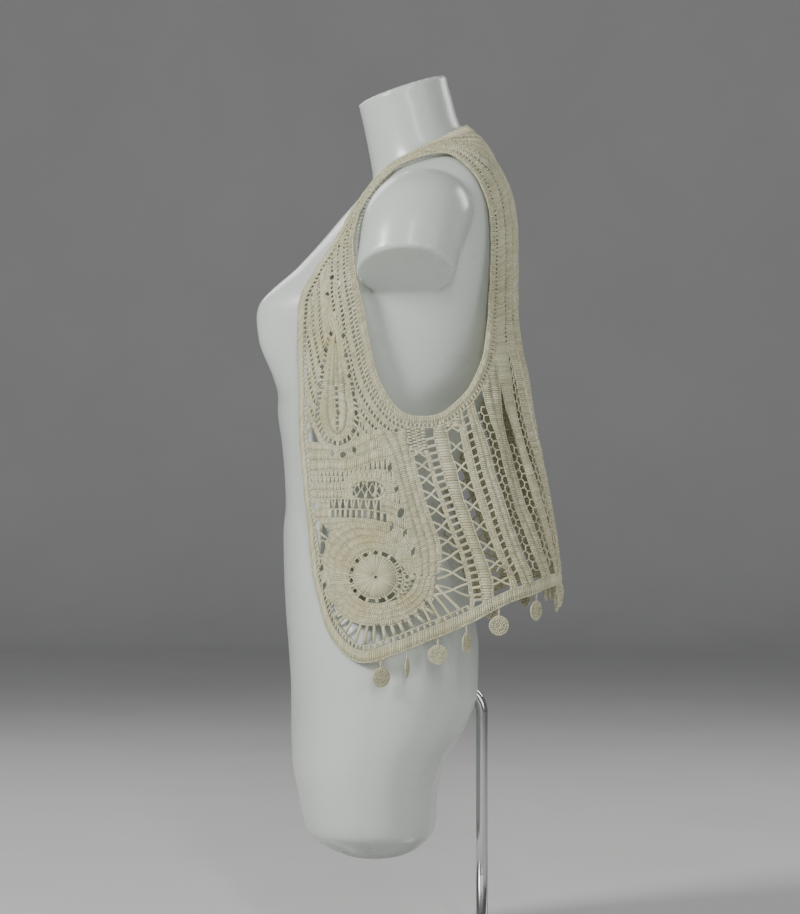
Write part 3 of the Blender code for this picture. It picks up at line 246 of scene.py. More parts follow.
# The drop of the front piece: rows of openings beside it
DROP_LEFT = [(331.7, 333.6), (326.5, 350), (322.5, 367), (319.6, 385), (318.5, 404)]
DROP_RIGHT = [(343.8, 336), (346.5, 356), (349.5, 376), (353.4, 394), (356.2, 413), (354, 431)]
DROP_MIDDLE = [(338.3, 412.5)]
# Discs hanging from the hem: place across of the first six with their turn in degrees; the rest
# follow at DISC_PITCH, turned by DISC_TURNS over and over
DISCS = [(381, 46), (407, 76), (438, 6), (467, 62), (499, -8), (536, 14)]
DISC_TURNS = (38, -20, 12, -33, 6)
DISC_PITCH, DISC_R, DISC_THICK, STEM = 0.0345, 0.0108, 0.0030, 0.0070  # STEM is its length
STEM_HALF, STEM_GAP = 1.5 * MM, 0.3 * MM  # half width of the stem, and its end's gap under the hem

# Lines of the side's open-work (across, down)
TRELLIS_LEFT = [
    (404, 424), (408, 440), (415, 461.7), (418, 474.6), (422, 489), (426.5, 504.7), (431.5, 520.5),
    (438, 536.3), (441.6, 550.6), (439.5, 569.3), (437, 585), (434.5, 600), (433, 612),
]
RIBS_RIGHT = [
    (442, 420), (448, 436), (451.6, 456), (456, 467.4), (458, 477.5), (463, 497.6), (468.8, 512),
    (475.3, 532), (481, 547.8), (486.8, 562), (492.5, 579.3), (493.2, 612),
]
TRELLIS_RIGHT = [
    (456, 414), (461, 434.4), (465.3, 457.4), (471, 477.5), (476.7, 497.6), (483.2, 516.2), (491, 537.7),
    (498.3, 557.8), (508.5, 569.3), (510.5, 586.5), (512, 612),
]
# Middles of the back's nets further round than those seen whole (ring, angle), below the armhole
NETS_BEHIND = [
    [
        (8.2, 139.8), (9.7, 138.6), (10.5, 138.9), (11.2, 140.0), (11.8, 141.8), (12.5, 143.2),
        (13.6, 145.4), (14.4, 146.5),
    ],
    [(8.2, 148.3), (10.0, 147.7), (12.0, 149.3), (13.6, 152.2), (14.4, 153.0)],
    [(8.2, 156.5), (10.0, 156.4), (12.0, 157.1), (13.6, 159.4), (14.4, 160.0)],
    [(8.2, 165.2), (10.0, 165.5), (12.0, 165.7), (13.6, 167.3), (14.4, 167.6)],
    [(8.2, 174.6), (10.0, 175.0), (12.0, 175.2), (13.6, 175.7), (14.4, 175.8)],
]
# Above the armhole's foot they fan out: their share of the way from armhole to neck and centre back,
# the ring where each begins to open, and their half width above that ring
FAN = [0.145, 0.335, 0.525, 0.715, 0.905]
FAN_BEGIN = [8.1, 7.2, 1.0, 1.0, 1.0]
SLIT = 1.6 * MM
# Their half width once open: over the fan's length as a share, then by ring
FAN_REACH = [(0.0, 1.5 * MM), (0.2, 1.6 * MM), (0.4, 2.0 * MM), (0.7, 3.8 * MM), (1.0, 5.0 * MM)]
LOW_REACH = [(8.2, 4.8 * MM), (9.7, 5.6 * MM), (12.0, 6.3 * MM), (14.4, 6.6 * MM)]

# Lines of the front piece (across, down): the slanted band's left edge, and the waves between drop
# and wheel from top to bottom
SLANT_LEFT = [
    (374, 432), (384, 447), (390, 458), (394.5, 474), (398.5, 489), (402.5, 507), (408, 527), (412.5, 545),
    (415.5, 560), (416.7, 577.2),
]
WAVES = [
    [(296, 438), (315, 443), (337, 444.5), (357, 440), (375, 430), (392, 434)],
    [(296, 472), (315, 472), (331, 469.5), (345, 472), (365, 465.5), (376, 460), (398, 456)],
    [(296, 484), (315, 482.5), (331, 483.5), (356, 481.2), (376, 479.5), (386, 484), (404, 488)],
    [(296, 499), (320, 499), (340, 498.5), (365, 499.5), (382, 500), (404, 506)],
    [(296, 510), (320, 509.5), (345, 509), (370, 510), (386, 513), (408, 520)],
    [(296, 519), (320, 519), (345, 518), (370, 519.5), (390, 524), (412, 534)],
    [(296, 552), (318, 551), (332, 545), (345, 538), (375, 532), (396, 538), (420, 558)],
]
# The lens among the waves, clockwise
LENS = [
    (351.5, 490.5), (356, 484.5), (364, 482), (374, 482), (381, 484.5), (385, 490), (381, 496),
    (374, 498.5), (364, 498.8), (356, 497),
]
# A broken strand's curl
TORN = [(496.5, 572), (499.5, 567), (503.5, 565), (507.5, 567.5), (507, 571.5), (503, 572)]
# The drop's ends down, its half width, and the share of its length where it is widest
DROP_TIP, DROP_LOW, DROP_WIDE, DROP_WIDEST = 317.0, 443.5, 19.3, 0.75
DROP_AXIS = [(336.0, 300), (336.2, 340), (336.6, 380), (337.6, 410), (338.2, 460)]
DROP_CORE = -17.1  # what the drop's outline is grown by to be its core's, in squares
NO_EYELETS = 592  # openings lower than this have no cord round them
# The band that curls round the wheel: angle in degrees clockwise from the right, inner and outer radius
SPIRAL = [
    (-10, 42, 62), (0, 41, 62), (20, 38, 62), (40, 33, 57), (60, 29, 52), (90, 27, 48), (135, 27, 50),
    (171, 27, 51), (191, 27, 54), (208, 27, 59), (222, 27, 61), (235, 27, 61), (250, 27, 58), (265, 27, 53),
    (280, 27, 51), (300, 27, 50), (320, 27.5, 50), (335, 29, 46), (348, 31, 42), (356, 33, 41),
]
# Spokes from that band out to the hem, and bars out to the waves, in degrees, and their length in squares
SPOKES = [8, 20, 32, 43, 53, 63, 72, 81.5, 91.5, 99.5, 107, 118, 128, 136, 146, 156, 166, 174]
WAVE_BARS = [181, 199, 219]
SPOKE_LONG, WAVE_BAR_LONG = 46, 14
# Long bars from the wheel's band to the hem, beside the seam (across, down)
LONG_BARS = [
    [(422, 606), (426.5, 614), (431, 623)], [(429, 600), (435, 610), (441.5, 621)],
    [(434, 594), (443, 605), (452, 617)], [(436, 586), (448, 598), (461.5, 611)],
]
# Yellowed places (across, down, radius)
STAINS = [
    (368, 538, 17), (409, 599, 12), (361, 607, 11), (384, 529, 8), (345, 560, 14), (372, 655, 8),
    (330, 345, 14), (322, 420, 16),
]


def rows(table, t):
    """The table's row at each t, by a monotone cubic through its rows."""
    last = len(table) - 1
    step = np.diff(table, axis=0)
    slope = np.zeros_like(table)
    with np.errstate(divide="ignore", invalid="ignore"):
        mean = 2 * step[1:] * step[:-1] / (step[1:] + step[:-1])
    slope[1:-1] = np.where(step[1:] * step[:-1] > 0, mean, 0)
    slope[0], slope[-1] = step[0], step[-1]
    t = np.clip(np.asarray(t, float), 0, last)
    i = np.minimum(t.astype(int), last - 1)
    f = (t - i)[..., None]
    return (
        (2 * f**3 - 3 * f**2 + 1) * table[i]
        + (f**3 - 2 * f**2 + f) * slope[i]
        + (3 * f**2 - 2 * f**3) * table[i + 1]
        + (f**3 - f**2) * slope[i + 1]
    )


def ring(row, phi, shrink=0.0):
    """Points of a tilted closed section at angles phi, 0 in front and a quarter turn at the left."""
    fy, fz, by, bz, wide, power, lift, back = np.moveaxis(row[..., :8], -1, 0)
    s, c = np.sin(phi), np.cos(phi)
    power = np.where(c < 0, back, power)
    r = (np.abs(s) ** power + np.abs(c) ** power) ** (-1 / power)
    g = r * c
    y = (fy + by) / 2 - (by - fy) / 2 * g
    z = (fz + bz) / 2 - (bz - fz) / 2 * g + lift * (r * s) ** 2
    return np.stack([wide * r * s * (1 - shrink), y - shrink * (y - (fy + by) / 2), z], -1)


def project(p):
    """Where points are seen from the side, (across, down)."""
    k = EYE / (EYE - p[..., 0]) / SQUARE
    return np.stack([AHEAD[0] + p[..., 1] * k, AHEAD[1] - (p[..., 2] - EYE_UP) * k], -1)


def unit(v):
    return v / np.maximum(np.linalg.norm(v, axis=-1, keepdims=True), 1e-12)


def cut(line, s, t):
    """The line's points at t, where its own points lie at s."""
    return np.stack([np.interp(t, s, line[:, c]) for c in range(line.shape[1])], -1)


def halved(a, b):
    """Strands from a to b through the middle between them."""
    return np.stack([a, (a + b) / 2, b], 1)


class Cloth:
    """The middle of the cloth at (angle in degrees, ring), pushed smoothly clear of the form."""

    def __init__(self, tree):
        a, b = np.meshgrid(np.linspace(2, 178, 89), np.linspace(0.05, 15.9, 160))
        self.grid = np.stack([a, b], -1).reshape(-1, 2)
        self.seen = project(self.base(self.grid))
        self.keep_clear(tree)

    def base(self, uv):
        phi, k = uv[..., 0], uv[..., 1]
        shrink = 0
        for top, low, first, last, deep, wide in FOLDS:
            at = top + (low - top) * np.clip((k - first) / (last - first), 0, 1)
            fade = np.clip((k - first) / 1.5, 0, 1) * np.clip((last + 1.5 - k) / 1.5, 0, 1)
            fade = fade * fade * (3 - 2 * fade)
            shrink = shrink + deep / 0.17 * fade * np.exp(-(((phi - at) / wide) ** 2))
        return ring(rows(VEST, k), np.radians(phi), shrink)

    def jacobian(self, uv):
        du, dv = np.array([0.5, 0.0]), np.array([0.0, 0.03])
        return self.base(uv + du) - self.base(uv - du), (self.base(uv + dv) - self.base(uv - dv)) / 0.06

    def normal(self, uv):
        pu, pv = self.jacobian(uv)
        return unit(np.cross(pv, pu))

    def keep_clear(self, tree):
        angles, levels = np.arange(0, 181, PUSH_ANGLE), np.arange(0, 16.01, PUSH_RING)
        uv = np.stack(np.meshgrid(angles, levels), -1)
        at, out = self.base(uv), self.normal(uv)
        need = np.zeros(uv.shape[:2])
        for _ in range(3):
            for i, j in np.ndindex(need.shape):
                p = Vector(at[i, j] + out[i, j] * need[i, j])
                near, facing, _face, _gap = tree.find_nearest(p)
                away = (p - near).dot(facing)
                need[i, j] += max(0, CLEAR - away)
        need = np.minimum(need, MOST_PUSH)
        soft = need.copy()
        for _ in range(14):
            wide = np.pad(soft, 1, mode="edge")
            soft = (wide[:-2, 1:-1] + wide[2:, 1:-1] + wide[1:-1, :-2] + wide[1:-1, 2:] + 2 * soft) / 6
            soft = np.maximum(soft, need)
        self.push = soft

    def wall(self, uv):
        """Points on the middle of the cloth's wall."""
        i = np.clip(uv[..., 1] / PUSH_RING, 0, self.push.shape[0] - 1.001)
        j = np.clip(uv[..., 0] / PUSH_ANGLE, 0, self.push.shape[1] - 1.001)
        i0, j0 = i.astype(int), j.astype(int)
        fi, fj = i - i0, j - j0
        d = self.push[i0, j0] * (1 - fi) * (1 - fj) + self.push[i0 + 1, j0] * fi * (1 - fj)
        d = d + self.push[i0, j0 + 1] * (1 - fi) * fj + self.push[i0 + 1, j0 + 1] * fi * fj
        return self.base(uv) + self.normal(uv) * d[..., None]

    def at(self, uv, high=0.0):
        """Points this high over the wall's middle, with the slight waves that hand-worked cloth has."""
        x, y = np.moveaxis(flat(uv), -1, 0)
        wave = np.sin(x * 190 + 2 * np.sin(y * 61)) * np.sin(y * 150 + 1.3) + 0.6 * np.sin(x * 430 + y * 260)
        wave = 0.35 * MM * (wave + 1.2) * np.clip(uv[..., 1] / 3 - 0.4, 0, 1)
        return self.wall(uv) + self.normal(uv) * (high + wave)[..., None]

    def place(self, seen):
        """(angle, ring) of points given by where they are seen from the side."""
        seen = np.asarray(seen, float)
        target = seen.reshape(-1, 2)
        gap = ((self.seen[None] - target[:, None]) ** 2).sum(-1)
        uv, least = self.grid[gap.argmin(1)], gap.min(1)
        best = uv.copy()
        for _ in range(12):
            pu = (project(self.base(uv + [0.4, 0])) - project(self.base(uv - [0.4, 0]))) / 0.8
            pv = (project(self.base(uv + [0, 0.02])) - project(self.base(uv - [0, 0.02]))) / 0.04
            back = np.linalg.pinv(np.stack([pu, pv], -1), rcond=1e-2)
            turn = (back @ (target - project(self.base(uv)))[..., None])[..., 0]
            uv = np.clip(uv + np.clip(turn, [-6, -0.5], [6, 0.5]), [0.5, 0.0], [179.5, 15.95])
            off = ((project(self.base(uv)) - target) ** 2).sum(-1)
            better = off < least
            best[better], least[better] = uv[better], off[better]
        return best.reshape(seen.shape)

    def moved(self, uv, along, across, way):
        """uv moved over the cloth: metres along the direction way (in uv) and across it, to its right."""
        pu, pv = self.jacobian(uv)
        n = unit(np.cross(pv, pu))
        t = unit(pu * way[..., :1] + pv * way[..., 1:])
        step = t * np.asarray(along)[..., None] + np.cross(t, n) * np.asarray(across)[..., None]
        uu, vv, uw = (pu * pu).sum(-1), (pv * pv).sum(-1), (pu * pv).sum(-1)
        su, sv = (step * pu).sum(-1), (step * pv).sum(-1)
        det = uu * vv - uw * uw
        return uv + np.stack([(su * vv - sv * uw) / det, (sv * uu - su * uw) / det], -1)

    def beside(self, uv, across, closed=False):
        """The line moved over the cloth to its right, in metres."""
        return self.moved(uv, np.zeros(len(uv)), np.broadcast_to(across, len(uv)), ways(uv, closed))

    def lengths(self, uv):
        return np.r_[0, np.cumsum(np.linalg.norm(np.diff(self.base(uv), axis=0), axis=1))]

    def resample(self, uv, pitch, closed=False):
        """The line smoothed by a cubic through its points and cut at about this pitch along the cloth."""
        uv = np.asarray(uv, float)
        if closed:
            uv = np.vstack([uv[-3:], uv, uv[:4]])
        fine = rows(uv, np.arange(0, len(uv) - 1 + 1e-9, 0.1))
        if closed:
            fine = fine[30 : 30 + 10 * (len(uv) - 7) + 1]
        s = self.lengths(fine)
        t = np.linspace(0, s[-1], max(2, round(s[-1] / pitch)) + 1)
        out = cut(fine, s, t)
        return out[:-1] if closed else out

    def spaced(self, uv, count):
        s = self.lengths(uv)
        return cut(uv, s, np.linspace(0, s[-1], count))


def ways(uv, closed=False):
    if closed:
        return np.roll(uv, -1, 0) - np.roll(uv, 1, 0)
    return np.gradient(uv, axis=0)


def flat(uv):
    """Pattern plane in metres: close enough to the cloth's own sizes to lay points out in."""
    return np.stack([uv[..., 0] * FLAT_ANGLE, uv[..., 1] * FLAT_RING], -1)


def inside(points, loop):
    x, y = points[:, 0], points[:, 1]
    hit = np.zeros(len(points), bool)
    for (ax, ay), (bx, by) in zip(loop, np.roll(loop, -1, 0)):
        if ay != by:
            hit ^= ((ay > y) != (by > y)) & (x < (bx - ax) * (y - ay) / (by - ay) + ax)
    return hit


def crossing(one, two):
    """Where two open lines meet: the point, and how far along each (as index plus fraction)."""
    for i in range(len(one) - 1):
        for j in range(len(two) - 1):
            p, r = one[i], one[i + 1] - one[i]
            q, s = two[j], two[j + 1] - two[j]
            det = r[0] * s[1] - r[1] * s[0]
            if abs(det) < 1e-12:
                continue
            w = q - p
            t, u = (w[0] * s[1] - w[1] * s[0]) / det, (w[0] * r[1] - w[1] * r[0]) / det
            if 0 <= t < 1 and 0 <= u < 1:
                return p + r * t, i + t, j + u
    raise ValueError("lines don't meet")


def put_in(pair, at, point):
    """A line of (inner, outer) point pairs with this inner point put in, and its index."""
    i = int(at)
    f = at - i
    near = i if f < 0.3 else i + 1 if f > 0.7 else None
    if near is not None and near < len(pair):
        pair = pair.copy()
        pair[near, :2] = point
        return pair, near
    row = pair[i] * (1 - f) + pair[(i + 1) % len(pair)] * f
    row[:2] = point
    return np.insert(pair, i + 1, row, 0), i + 1


def outlines(cloth):
    """The edge's and the armhole's lines as (inner, outer) pairs, and the three pieces' closed loops."""
    line = np.vstack([np.array(NECK, float), cloth.place(EDGE), np.array(HEM_END, float)])
    outer = cloth.resample(line, 0.0118)
    outer[0, 0] = outer[-1, 0] = 180.0
    s = cloth.lengths(outer)
    hem = np.clip((s / s[-1] - 0.60) / 0.06, 0, 1)
    inner = cloth.beside(outer, -(BORDER + (HEM - BORDER) * hem))
    inner[0, 0] = inner[-1, 0] = 180.0
    edge = np.hstack([inner, outer])
    arm = cloth.resample(np.array(ARMHOLE, float), 0.0125, closed=True)
    far = cloth.beside(arm, BAND, closed=True)
    band = np.hstack([far, arm])
    seams, places = [], []
    for table in (SEAM_FRONT, SEAM_BACK):
        seam = cloth.resample(cloth.place(table), 0.011)
        half = len(edge) // 2
        p, i, j = crossing(edge[half:, :2], seam)
        edge, at_edge = put_in(edge, i + half, p)
        q, ia, ja = crossing(band[:, :2], seam)
        band, at_band = put_in(band, ia, q)
        seams.append(seam[math.ceil(ja + 0.3) : math.floor(j - 0.3) + 1])
        places.append((at_edge, at_band))
    (e1, a1), (e2, a2) = places
    neck = int(np.argmin(np.abs(edge[: len(edge) // 4, 2] - 90)))
    n, a = edge[:, :2], band[:, :2]
    ridge = n[neck] + (a[0] - n[neck]) * np.linspace(0, 1, 5)[1:-1, None]
    centre = n[-1] + (n[0] - n[-1]) * np.linspace(0, 1, 36)[1:-1, None]
    front = np.vstack([n[neck : e1 + 1], seams[0][::-1], a[a1::-1], ridge[::-1]])
    side = np.vstack([n[e1 : e2 + 1], seams[1][::-1], a[a2 : a1 - 1 : -1], seams[0]])
    back = np.vstack([n[e2:], centre, n[: neck + 1], ridge, a[:1], a[: a2 - 1 : -1], seams[1]])
    marks = {"neck": neck, "edge": (e1, e2), "arm": (a1, a2)}
    return edge, band, {"front": front, "side": side, "back": back}, marks


def oval(high, wide, n=6):
    t = np.arange(n) * 2 * math.pi / n + (math.pi / n if n == 6 else 0)
    return np.stack([high / 2 * np.cos(t), wide / 2 * np.sin(t)], -1)


def seen_hole(cloth, x, y, wide, high, turn=0.0, n=6):
    """An opening given by its size in the side view, as a uv loop."""
    c, s = math.cos(math.radians(turn)), math.sin(math.radians(turn))
    p, q = oval(high, wide, n).T * (1.08 if n == 4 else 1.0)
    return cloth.place(np.stack([x + q * c + p * s, y + p * c - q * s], -1))


class Track:
    """A line over the cloth that is walked by distance from its start."""

    def __init__(self, cloth, line):
        self.cloth = cloth
        line = np.asarray(line, float)
        self.fine = rows(line, np.arange(0, len(line) - 1 + 1e-9, 0.05))
        self.s = cloth.lengths(self.fine)
        self.long = self.s[-1]

    def at(self, d, across=0.0):
        here, behind, ahead = (cut(self.fine, self.s, d + step) for step in (0, -FINE, FINE))
        return self.cloth.moved(here, np.zeros(len(d)), np.broadcast_to(across, len(d)), ahead - behind)

    def line(self, across):
        return self.at(np.arange(0, self.long, FINE), across)


class Work:
    """The stitches of one piece, as paths over the cloth.

    Each point of a path is (angle, ring, height, half width, half thickness).
    """

    def __init__(self, cloth, loop, seed, bare=()):
        self.cloth, self.loop = cloth, flat(loop)
        self.closed = [flat(b) for b in bare]
        self.ground, self.raised = [], []
        self.rng = np.random.default_rng(seed)

    def free(self, uv):
        """Which points lie in the piece, off its openings and off what is worked already."""
        p = flat(uv.reshape(-1, 2))
        ok = inside(p, self.loop)
        for zone in self.closed:
            low, high = zone.min(0), zone.max(0)
            near = np.nonzero(ok & (p > low).all(1) & (p < high).all(1))[0]
            ok[near] = ~inside(p[near], zone)
        return ok.reshape(uv.shape[:-1])

    def lay(self, uv, high, wide, thick, raised=False):
        """Adds paths of the same number of points: uv is (paths, points, 2)."""
        n, k = uv.shape[:2]
        full = lambda v: np.broadcast_to(np.asarray(v, float), (n, k))
        if n:
            path = np.concatenate([uv, *(full(v)[..., None] for v in (high, wide, thick))], -1)
            (self.raised if raised else self.ground).append(path)

    def posts(self, a, b, wide=POST, thick=POST_THICK, high=0.0, bow=0.45 * MM, samples=13, points=3):
        """Posts from a to b, cut short where they would run out of the piece or over an opening."""
        long = np.linalg.norm(self.cloth.base(b) - self.cloth.base(a), axis=1) if len(a) else np.zeros(0)
        a, b = a[long > 1.0 * MM], b[long > 1.0 * MM]
        if not len(a):
            return
        t = np.linspace(0, 1, samples)
        ok = self.free(a[:, None] + (b - a)[:, None] * t[:, None])
        whole = ok.all(1)
        spans = [(i, 0.0, 1.0) for i in np.nonzero(whole)[0]]
        for i in np.nonzero(~whole & ok.any(1))[0]:
            start = None
            for j in range(samples + 1):
                good = j < samples and ok[i, j]
                if good and start is None:
                    start = j
                if not good and start is not None:
                    if j - start >= 3:
                        spans.append((i, t[start], t[j - 1]))
                    start = None
        if not spans:
            return
        spans = np.array(spans)
        i, f = spans[:, 0].astype(int), np.linspace(0, 1, points)
        at = spans[:, 1:2] + (spans[:, 2:] - spans[:, 1:2]) * f
        uv = a[i, None] + (b - a)[i, None] * at[..., None]
        size = self.rng.uniform(0.90, 1.10, (len(i), 1)) * (1 - 0.20 * (2 * f - 1) ** 2)
        lift = high + self.rng.uniform(-0.1, 0.1, (len(i), 1)) * MM
        self.lay(uv, lift + bow * (1 - (2 * f - 1) ** 2), wide * size, thick * size)

    def rope(self, line, pitch=ROPE_PITCH, half=ROPE, high=0.15 * MM, masked=True):
        """A cord of slanted stitches along a line."""
        count = max(2, round(self.cloth.lengths(line)[-1] / pitch))
        mid = self.cloth.spaced(line, count + 1)
        mid = (mid[1:] + mid[:-1]) / 2
        way = ways(mid)
        ok = self.free(mid) if masked else np.ones(len(mid), bool)
        mid, way = mid[ok], way[ok]
        if not len(mid):
            return
        reach, slant = np.full(len(mid), 0.66 * pitch), np.full(len(mid), 0.35 * half)
        a, b = (self.cloth.moved(mid, s * reach, s * slant, way) for s in (-1, 1))
        wide, thick = half * np.array([0.62, 1.05, 0.62]), half * np.array([0.62, 1.0, 0.62])
        self.lay(np.stack([a, mid, b], 1), high, wide, thick, True)

    def row(self, left, right, pitch=PITCH, split=1, lean=0.0, zigzag=0.0, ropes=(), **how):
        """Rows of posts between two lines.

        lean is how far a post's far end is ahead, in metres, and zigzag the same by turns ahead and
        behind; ropes are the shares of the way across where a cord runs.
        """
        cloth = self.cloth
        n = max(2, round((cloth.lengths(left)[-1] + cloth.lengths(right)[-1]) / 2 / pitch))
        a, b = cloth.spaced(left, n + 1), cloth.spaced(right, n + 1)
        steps = np.arange(n + 1)

        def point(f, x):
            return cut(a + (b - a) * f, steps, x)

        for k in range(split):
            x = steps + (0.5 if k % 2 else 0.0) + self.rng.uniform(-0.06, 0.06, n + 1)
            ahead = (lean + zigzag * np.where(steps % 2, 1, -1)) / split / pitch
            self.posts(point(k / split, x), point((k + 1) / split, x + ahead), **how)
        for f in ropes:
            self.rope(point(f, np.arange(0, n + 1e-9, 0.5)))

    def rounds(self, left, right, count, ends=(True, True), **how):
        """Several rows side by side between two lines of as many points."""
        lines = [left + (right - left) * k / count for k in range(count + 1)]
        for k, (a, b) in enumerate(zip(lines, lines[1:])):
            self.row(a, b, ropes=(0.0,) if k or ends[0] else (), **how)
        if ends[1]:
            self.rope(lines[-1])

    def bars(self, lines, wide=BAR, thick=BAR_THICK, high=0.1 * MM, points=7, masked=False):
        """Free strands through the given points, (strands, points, 2)."""
        lines = np.asarray(lines, float)
        if masked:
            lines = lines[self.free(lines[:, lines.shape[1] // 2])]
        if not len(lines):
            return
        t = np.linspace(0, lines.shape[1] - 1, points)
        smooth = np.stack([rows(p, t) for p in lines])
        f = np.linspace(-1, 1, points)
        self.lay(smooth, high, wide * (1.12 - 0.2 * (1 - f**2)), thick * (1.05 - 0.1 * (1 - f**2)))

    def close(self, zone):
        """Nothing worked from here on runs into this zone."""
        self.closed.append(flat(zone))

    def eyelets(self, holes):
        """A thin cord round each opening."""
        for h in holes:
            self.lay(self.outward(np.vstack([h, h[:2]]), THIN * 0.9)[None], 0.2 * MM, THIN, THIN, True)

    def outward(self, loop, by):
        """The points of a small loop, whose last two repeat its first two, moved out from its middle."""
        p = self.cloth.base(loop)
        mid = p[:-2].mean(0)
        away = np.linalg.norm(p - mid, axis=1, keepdims=True)
        m = loop[:-2].mean(0)
        return m + (loop - m) * (1 + by / np.maximum(away, 1e-6))


def frames(points, out):
    way = unit(np.gradient(points, axis=1))
    side = unit(np.cross(way, out))
    return side, np.cross(side, way)


def put(name, data):
    """A new object with this data, in the scene."""
    obj = bpy.data.objects.new(name, data)
    bpy.context.scene.collection.objects.link(obj)
    return obj


def yarn_mesh(name, strands, sides, mat):
    """One mesh of all strands.

    Each is (points (n, k, 3), outward (n, k, 3), half width (n, k), half thickness (n, k)).
    """
    verts, loops, totals, uvs, tones, start = [], [], [], [], [], 0
    rng = np.random.default_rng(len(strands) + 5)
    turn = (np.arange(sides) + 0.5) * 2 * math.pi / sides
    for points, out, wide, thick in strands:
        n, k = points.shape[:2]
        side, up = frames(points, out)
        v = points[:, :, None] + side[:, :, None] * (wide[..., None] * np.cos(turn))[..., None]
        v = v + up[:, :, None] * (thick[..., None] * np.sin(turn))[..., None]
        verts.append(v.reshape(-1, 3))
        index = start + np.arange(n * k * sides).reshape(n, k, sides)
        nxt = np.roll(index, -1, 2)
        quads = np.stack([index[:, :-1], index[:, 1:], nxt[:, 1:], nxt[:, :-1]], -1)
        step = np.linalg.norm(np.diff(points, axis=1), axis=2)
        run = np.concatenate([np.zeros((n, 1)), np.cumsum(step, 1)], 1)
        run = run + rng.uniform(0, 1, (n, 1))
        j = np.arange(sides)
        ends = j, run[:, :-1, None], run[:, 1:, None]
        near, low, top = (np.broadcast_to(x, (n, k - 1, sides)) for x in ends)
        corners = (near, low), (near, top), (near + 1, top), (near + 1, low)
        uv = np.stack([np.stack(corner, -1) for corner in corners], -2) / [sides, 1.0]
        loops += [quads.reshape(-1), index[:, 0].reshape(-1), index[:, -1, ::-1].reshape(-1)]
        totals += [np.full(n * (k - 1) * sides, 4), np.full(2 * n, sides)]
        end = np.stack([j / sides, 0 * j], -1)
        uvs += [uv.reshape(-1, 2), np.tile(end, (n, 1)), np.tile(end, (n, 1))]
        tones.append(np.repeat(rng.uniform(0, 1, n), k * sides))
        start += n * k * sides
    verts, loops, totals, uvs = (np.concatenate(x) for x in (verts, loops, totals, uvs))
    mesh = bpy.data.meshes.new(name)
    mesh.vertices.add(len(verts))
    mesh.vertices.foreach_set("co", verts.astype(np.float32).ravel())
    mesh.loops.add(len(loops))
    mesh.loops.foreach_set("vertex_index", loops.astype(np.int32))
    mesh.polygons.add(len(totals))
    mesh.polygons.foreach_set("loop_start", np.r_[0, np.cumsum(totals)[:-1]].astype(np.int32))
    mesh.update(calc_edges=True)
    mesh.uv_layers.new(name="strand").data.foreach_set("uv", uvs.astype(np.float32).ravel())
    for kind, values in (("tone", np.concatenate(tones)), ("stain", stain(verts))):
        mesh.attributes.new(kind, "FLOAT", "POINT").data.foreach_set("value", values.astype(np.float32))
    mesh.shade_smooth()
    mesh.materials.append(mat)
    return put(name, mesh)


def stain(verts):
    """How yellowed each point is, the same on both sides."""
    seen = project(np.abs(verts[:, :1]) * [1, 0, 0] + verts * [0, 1, 1])
    total = np.zeros(len(verts))
    for x, y, r in STAINS:
        total = np.maximum(total, np.exp(-(((seen - [x, y]) ** 2).sum(1)) / r**2))
    return total


def both_sides(cloth, name, work, mat):
    """The left piece of lace and the right one mirrored: the ground, and the cords raised on it."""
    made = {}
    for part, paths in (("", work.ground), ("_cords", work.raised)):
        strands = []
        for p in paths:
            uv = p[..., :2]
            strands.append((cloth.at(uv, p[..., 2]), cloth.normal(uv), p[..., 3], p[..., 4]))
        for side, sign in (("left", 1), ("right", -1)):
            flip = np.array([sign, 1, 1])
            turned = [(q * flip, o * flip, w, t) for q, o, w, t in strands]
            made[side, part] = yarn_mesh(f"{name}{part}_{side}", turned, 4 if part else 5, mat)
    return made


def front_openings(cloth):
    """The openings of the front piece, those with an edge of their own first."""
    own = [seen_hole(cloth, *h, n=6 if min(h[2:4]) > 5.2 else 4) for h in FRONT]
    wheel = by_wheel(WHEEL[2], np.radians(WHEEL_AT))
    own += [seen_hole(cloth, x, y, 5.4, 5.4, n=4) for x, y in wheel]
    own += [seen_hole(cloth, x, y, 4.8, 7.0, n=4) for x, y in DROP_LEFT + DROP_RIGHT + DROP_MIDDLE]
    return own


def by_wheel(r, a):
    """(across, down) at radius r and angle a, in radians, from the wheel's middle."""
    return np.stack([WHEEL[0] + r * np.cos(a), WHEEL[1] + r * np.sin(a)], -1)


def circle(cloth, r):
    return cloth.place(by_wheel(r, np.radians(np.linspace(0, 360, 73))))


def on_circle(cloth, r, turn):
    """One point of a circle round the wheel's middle, the angle in degrees."""
    return cloth.place(by_wheel(r, np.radians([turn])))


def drop_line(cloth, grow, side, least=0.3, first=0.0, last=1.0):
    """The drop's outline grown by this many squares, down one side (-1 left, 1 right) to its low end."""
    t = np.linspace(first, last, 40)
    top, low = DROP_TIP - 1.6 * grow, DROP_LOW + grow
    y = top + (low - top) * t
    wide = DROP_WIDE + grow
    round_end = np.sqrt(np.maximum(0, 1 - ((t - DROP_WIDEST) / (1 - DROP_WIDEST)) ** 2))
    w = np.where(t < DROP_WIDEST, (t / DROP_WIDEST) ** 0.72, round_end)
    axis = np.interp(y, [p[1] for p in DROP_AXIS], [p[0] for p in DROP_AXIS])
    return cloth.place(np.stack([axis + side * np.maximum(wide * w, least), y], -1))


def spiral(cloth, first, last, step=3.0, grow=0.0):
    """The inner and outer line of the band that curls round the wheel, between two angles in degrees."""
    a = np.arange(first, last + 0.1, step)
    angle, low, high = np.array(SPIRAL, float).T
    radii = np.interp(a, angle, low), np.interp(a, angle, high) + grow
    return [cloth.place(by_wheel(r, np.radians(a))) for r in radii]


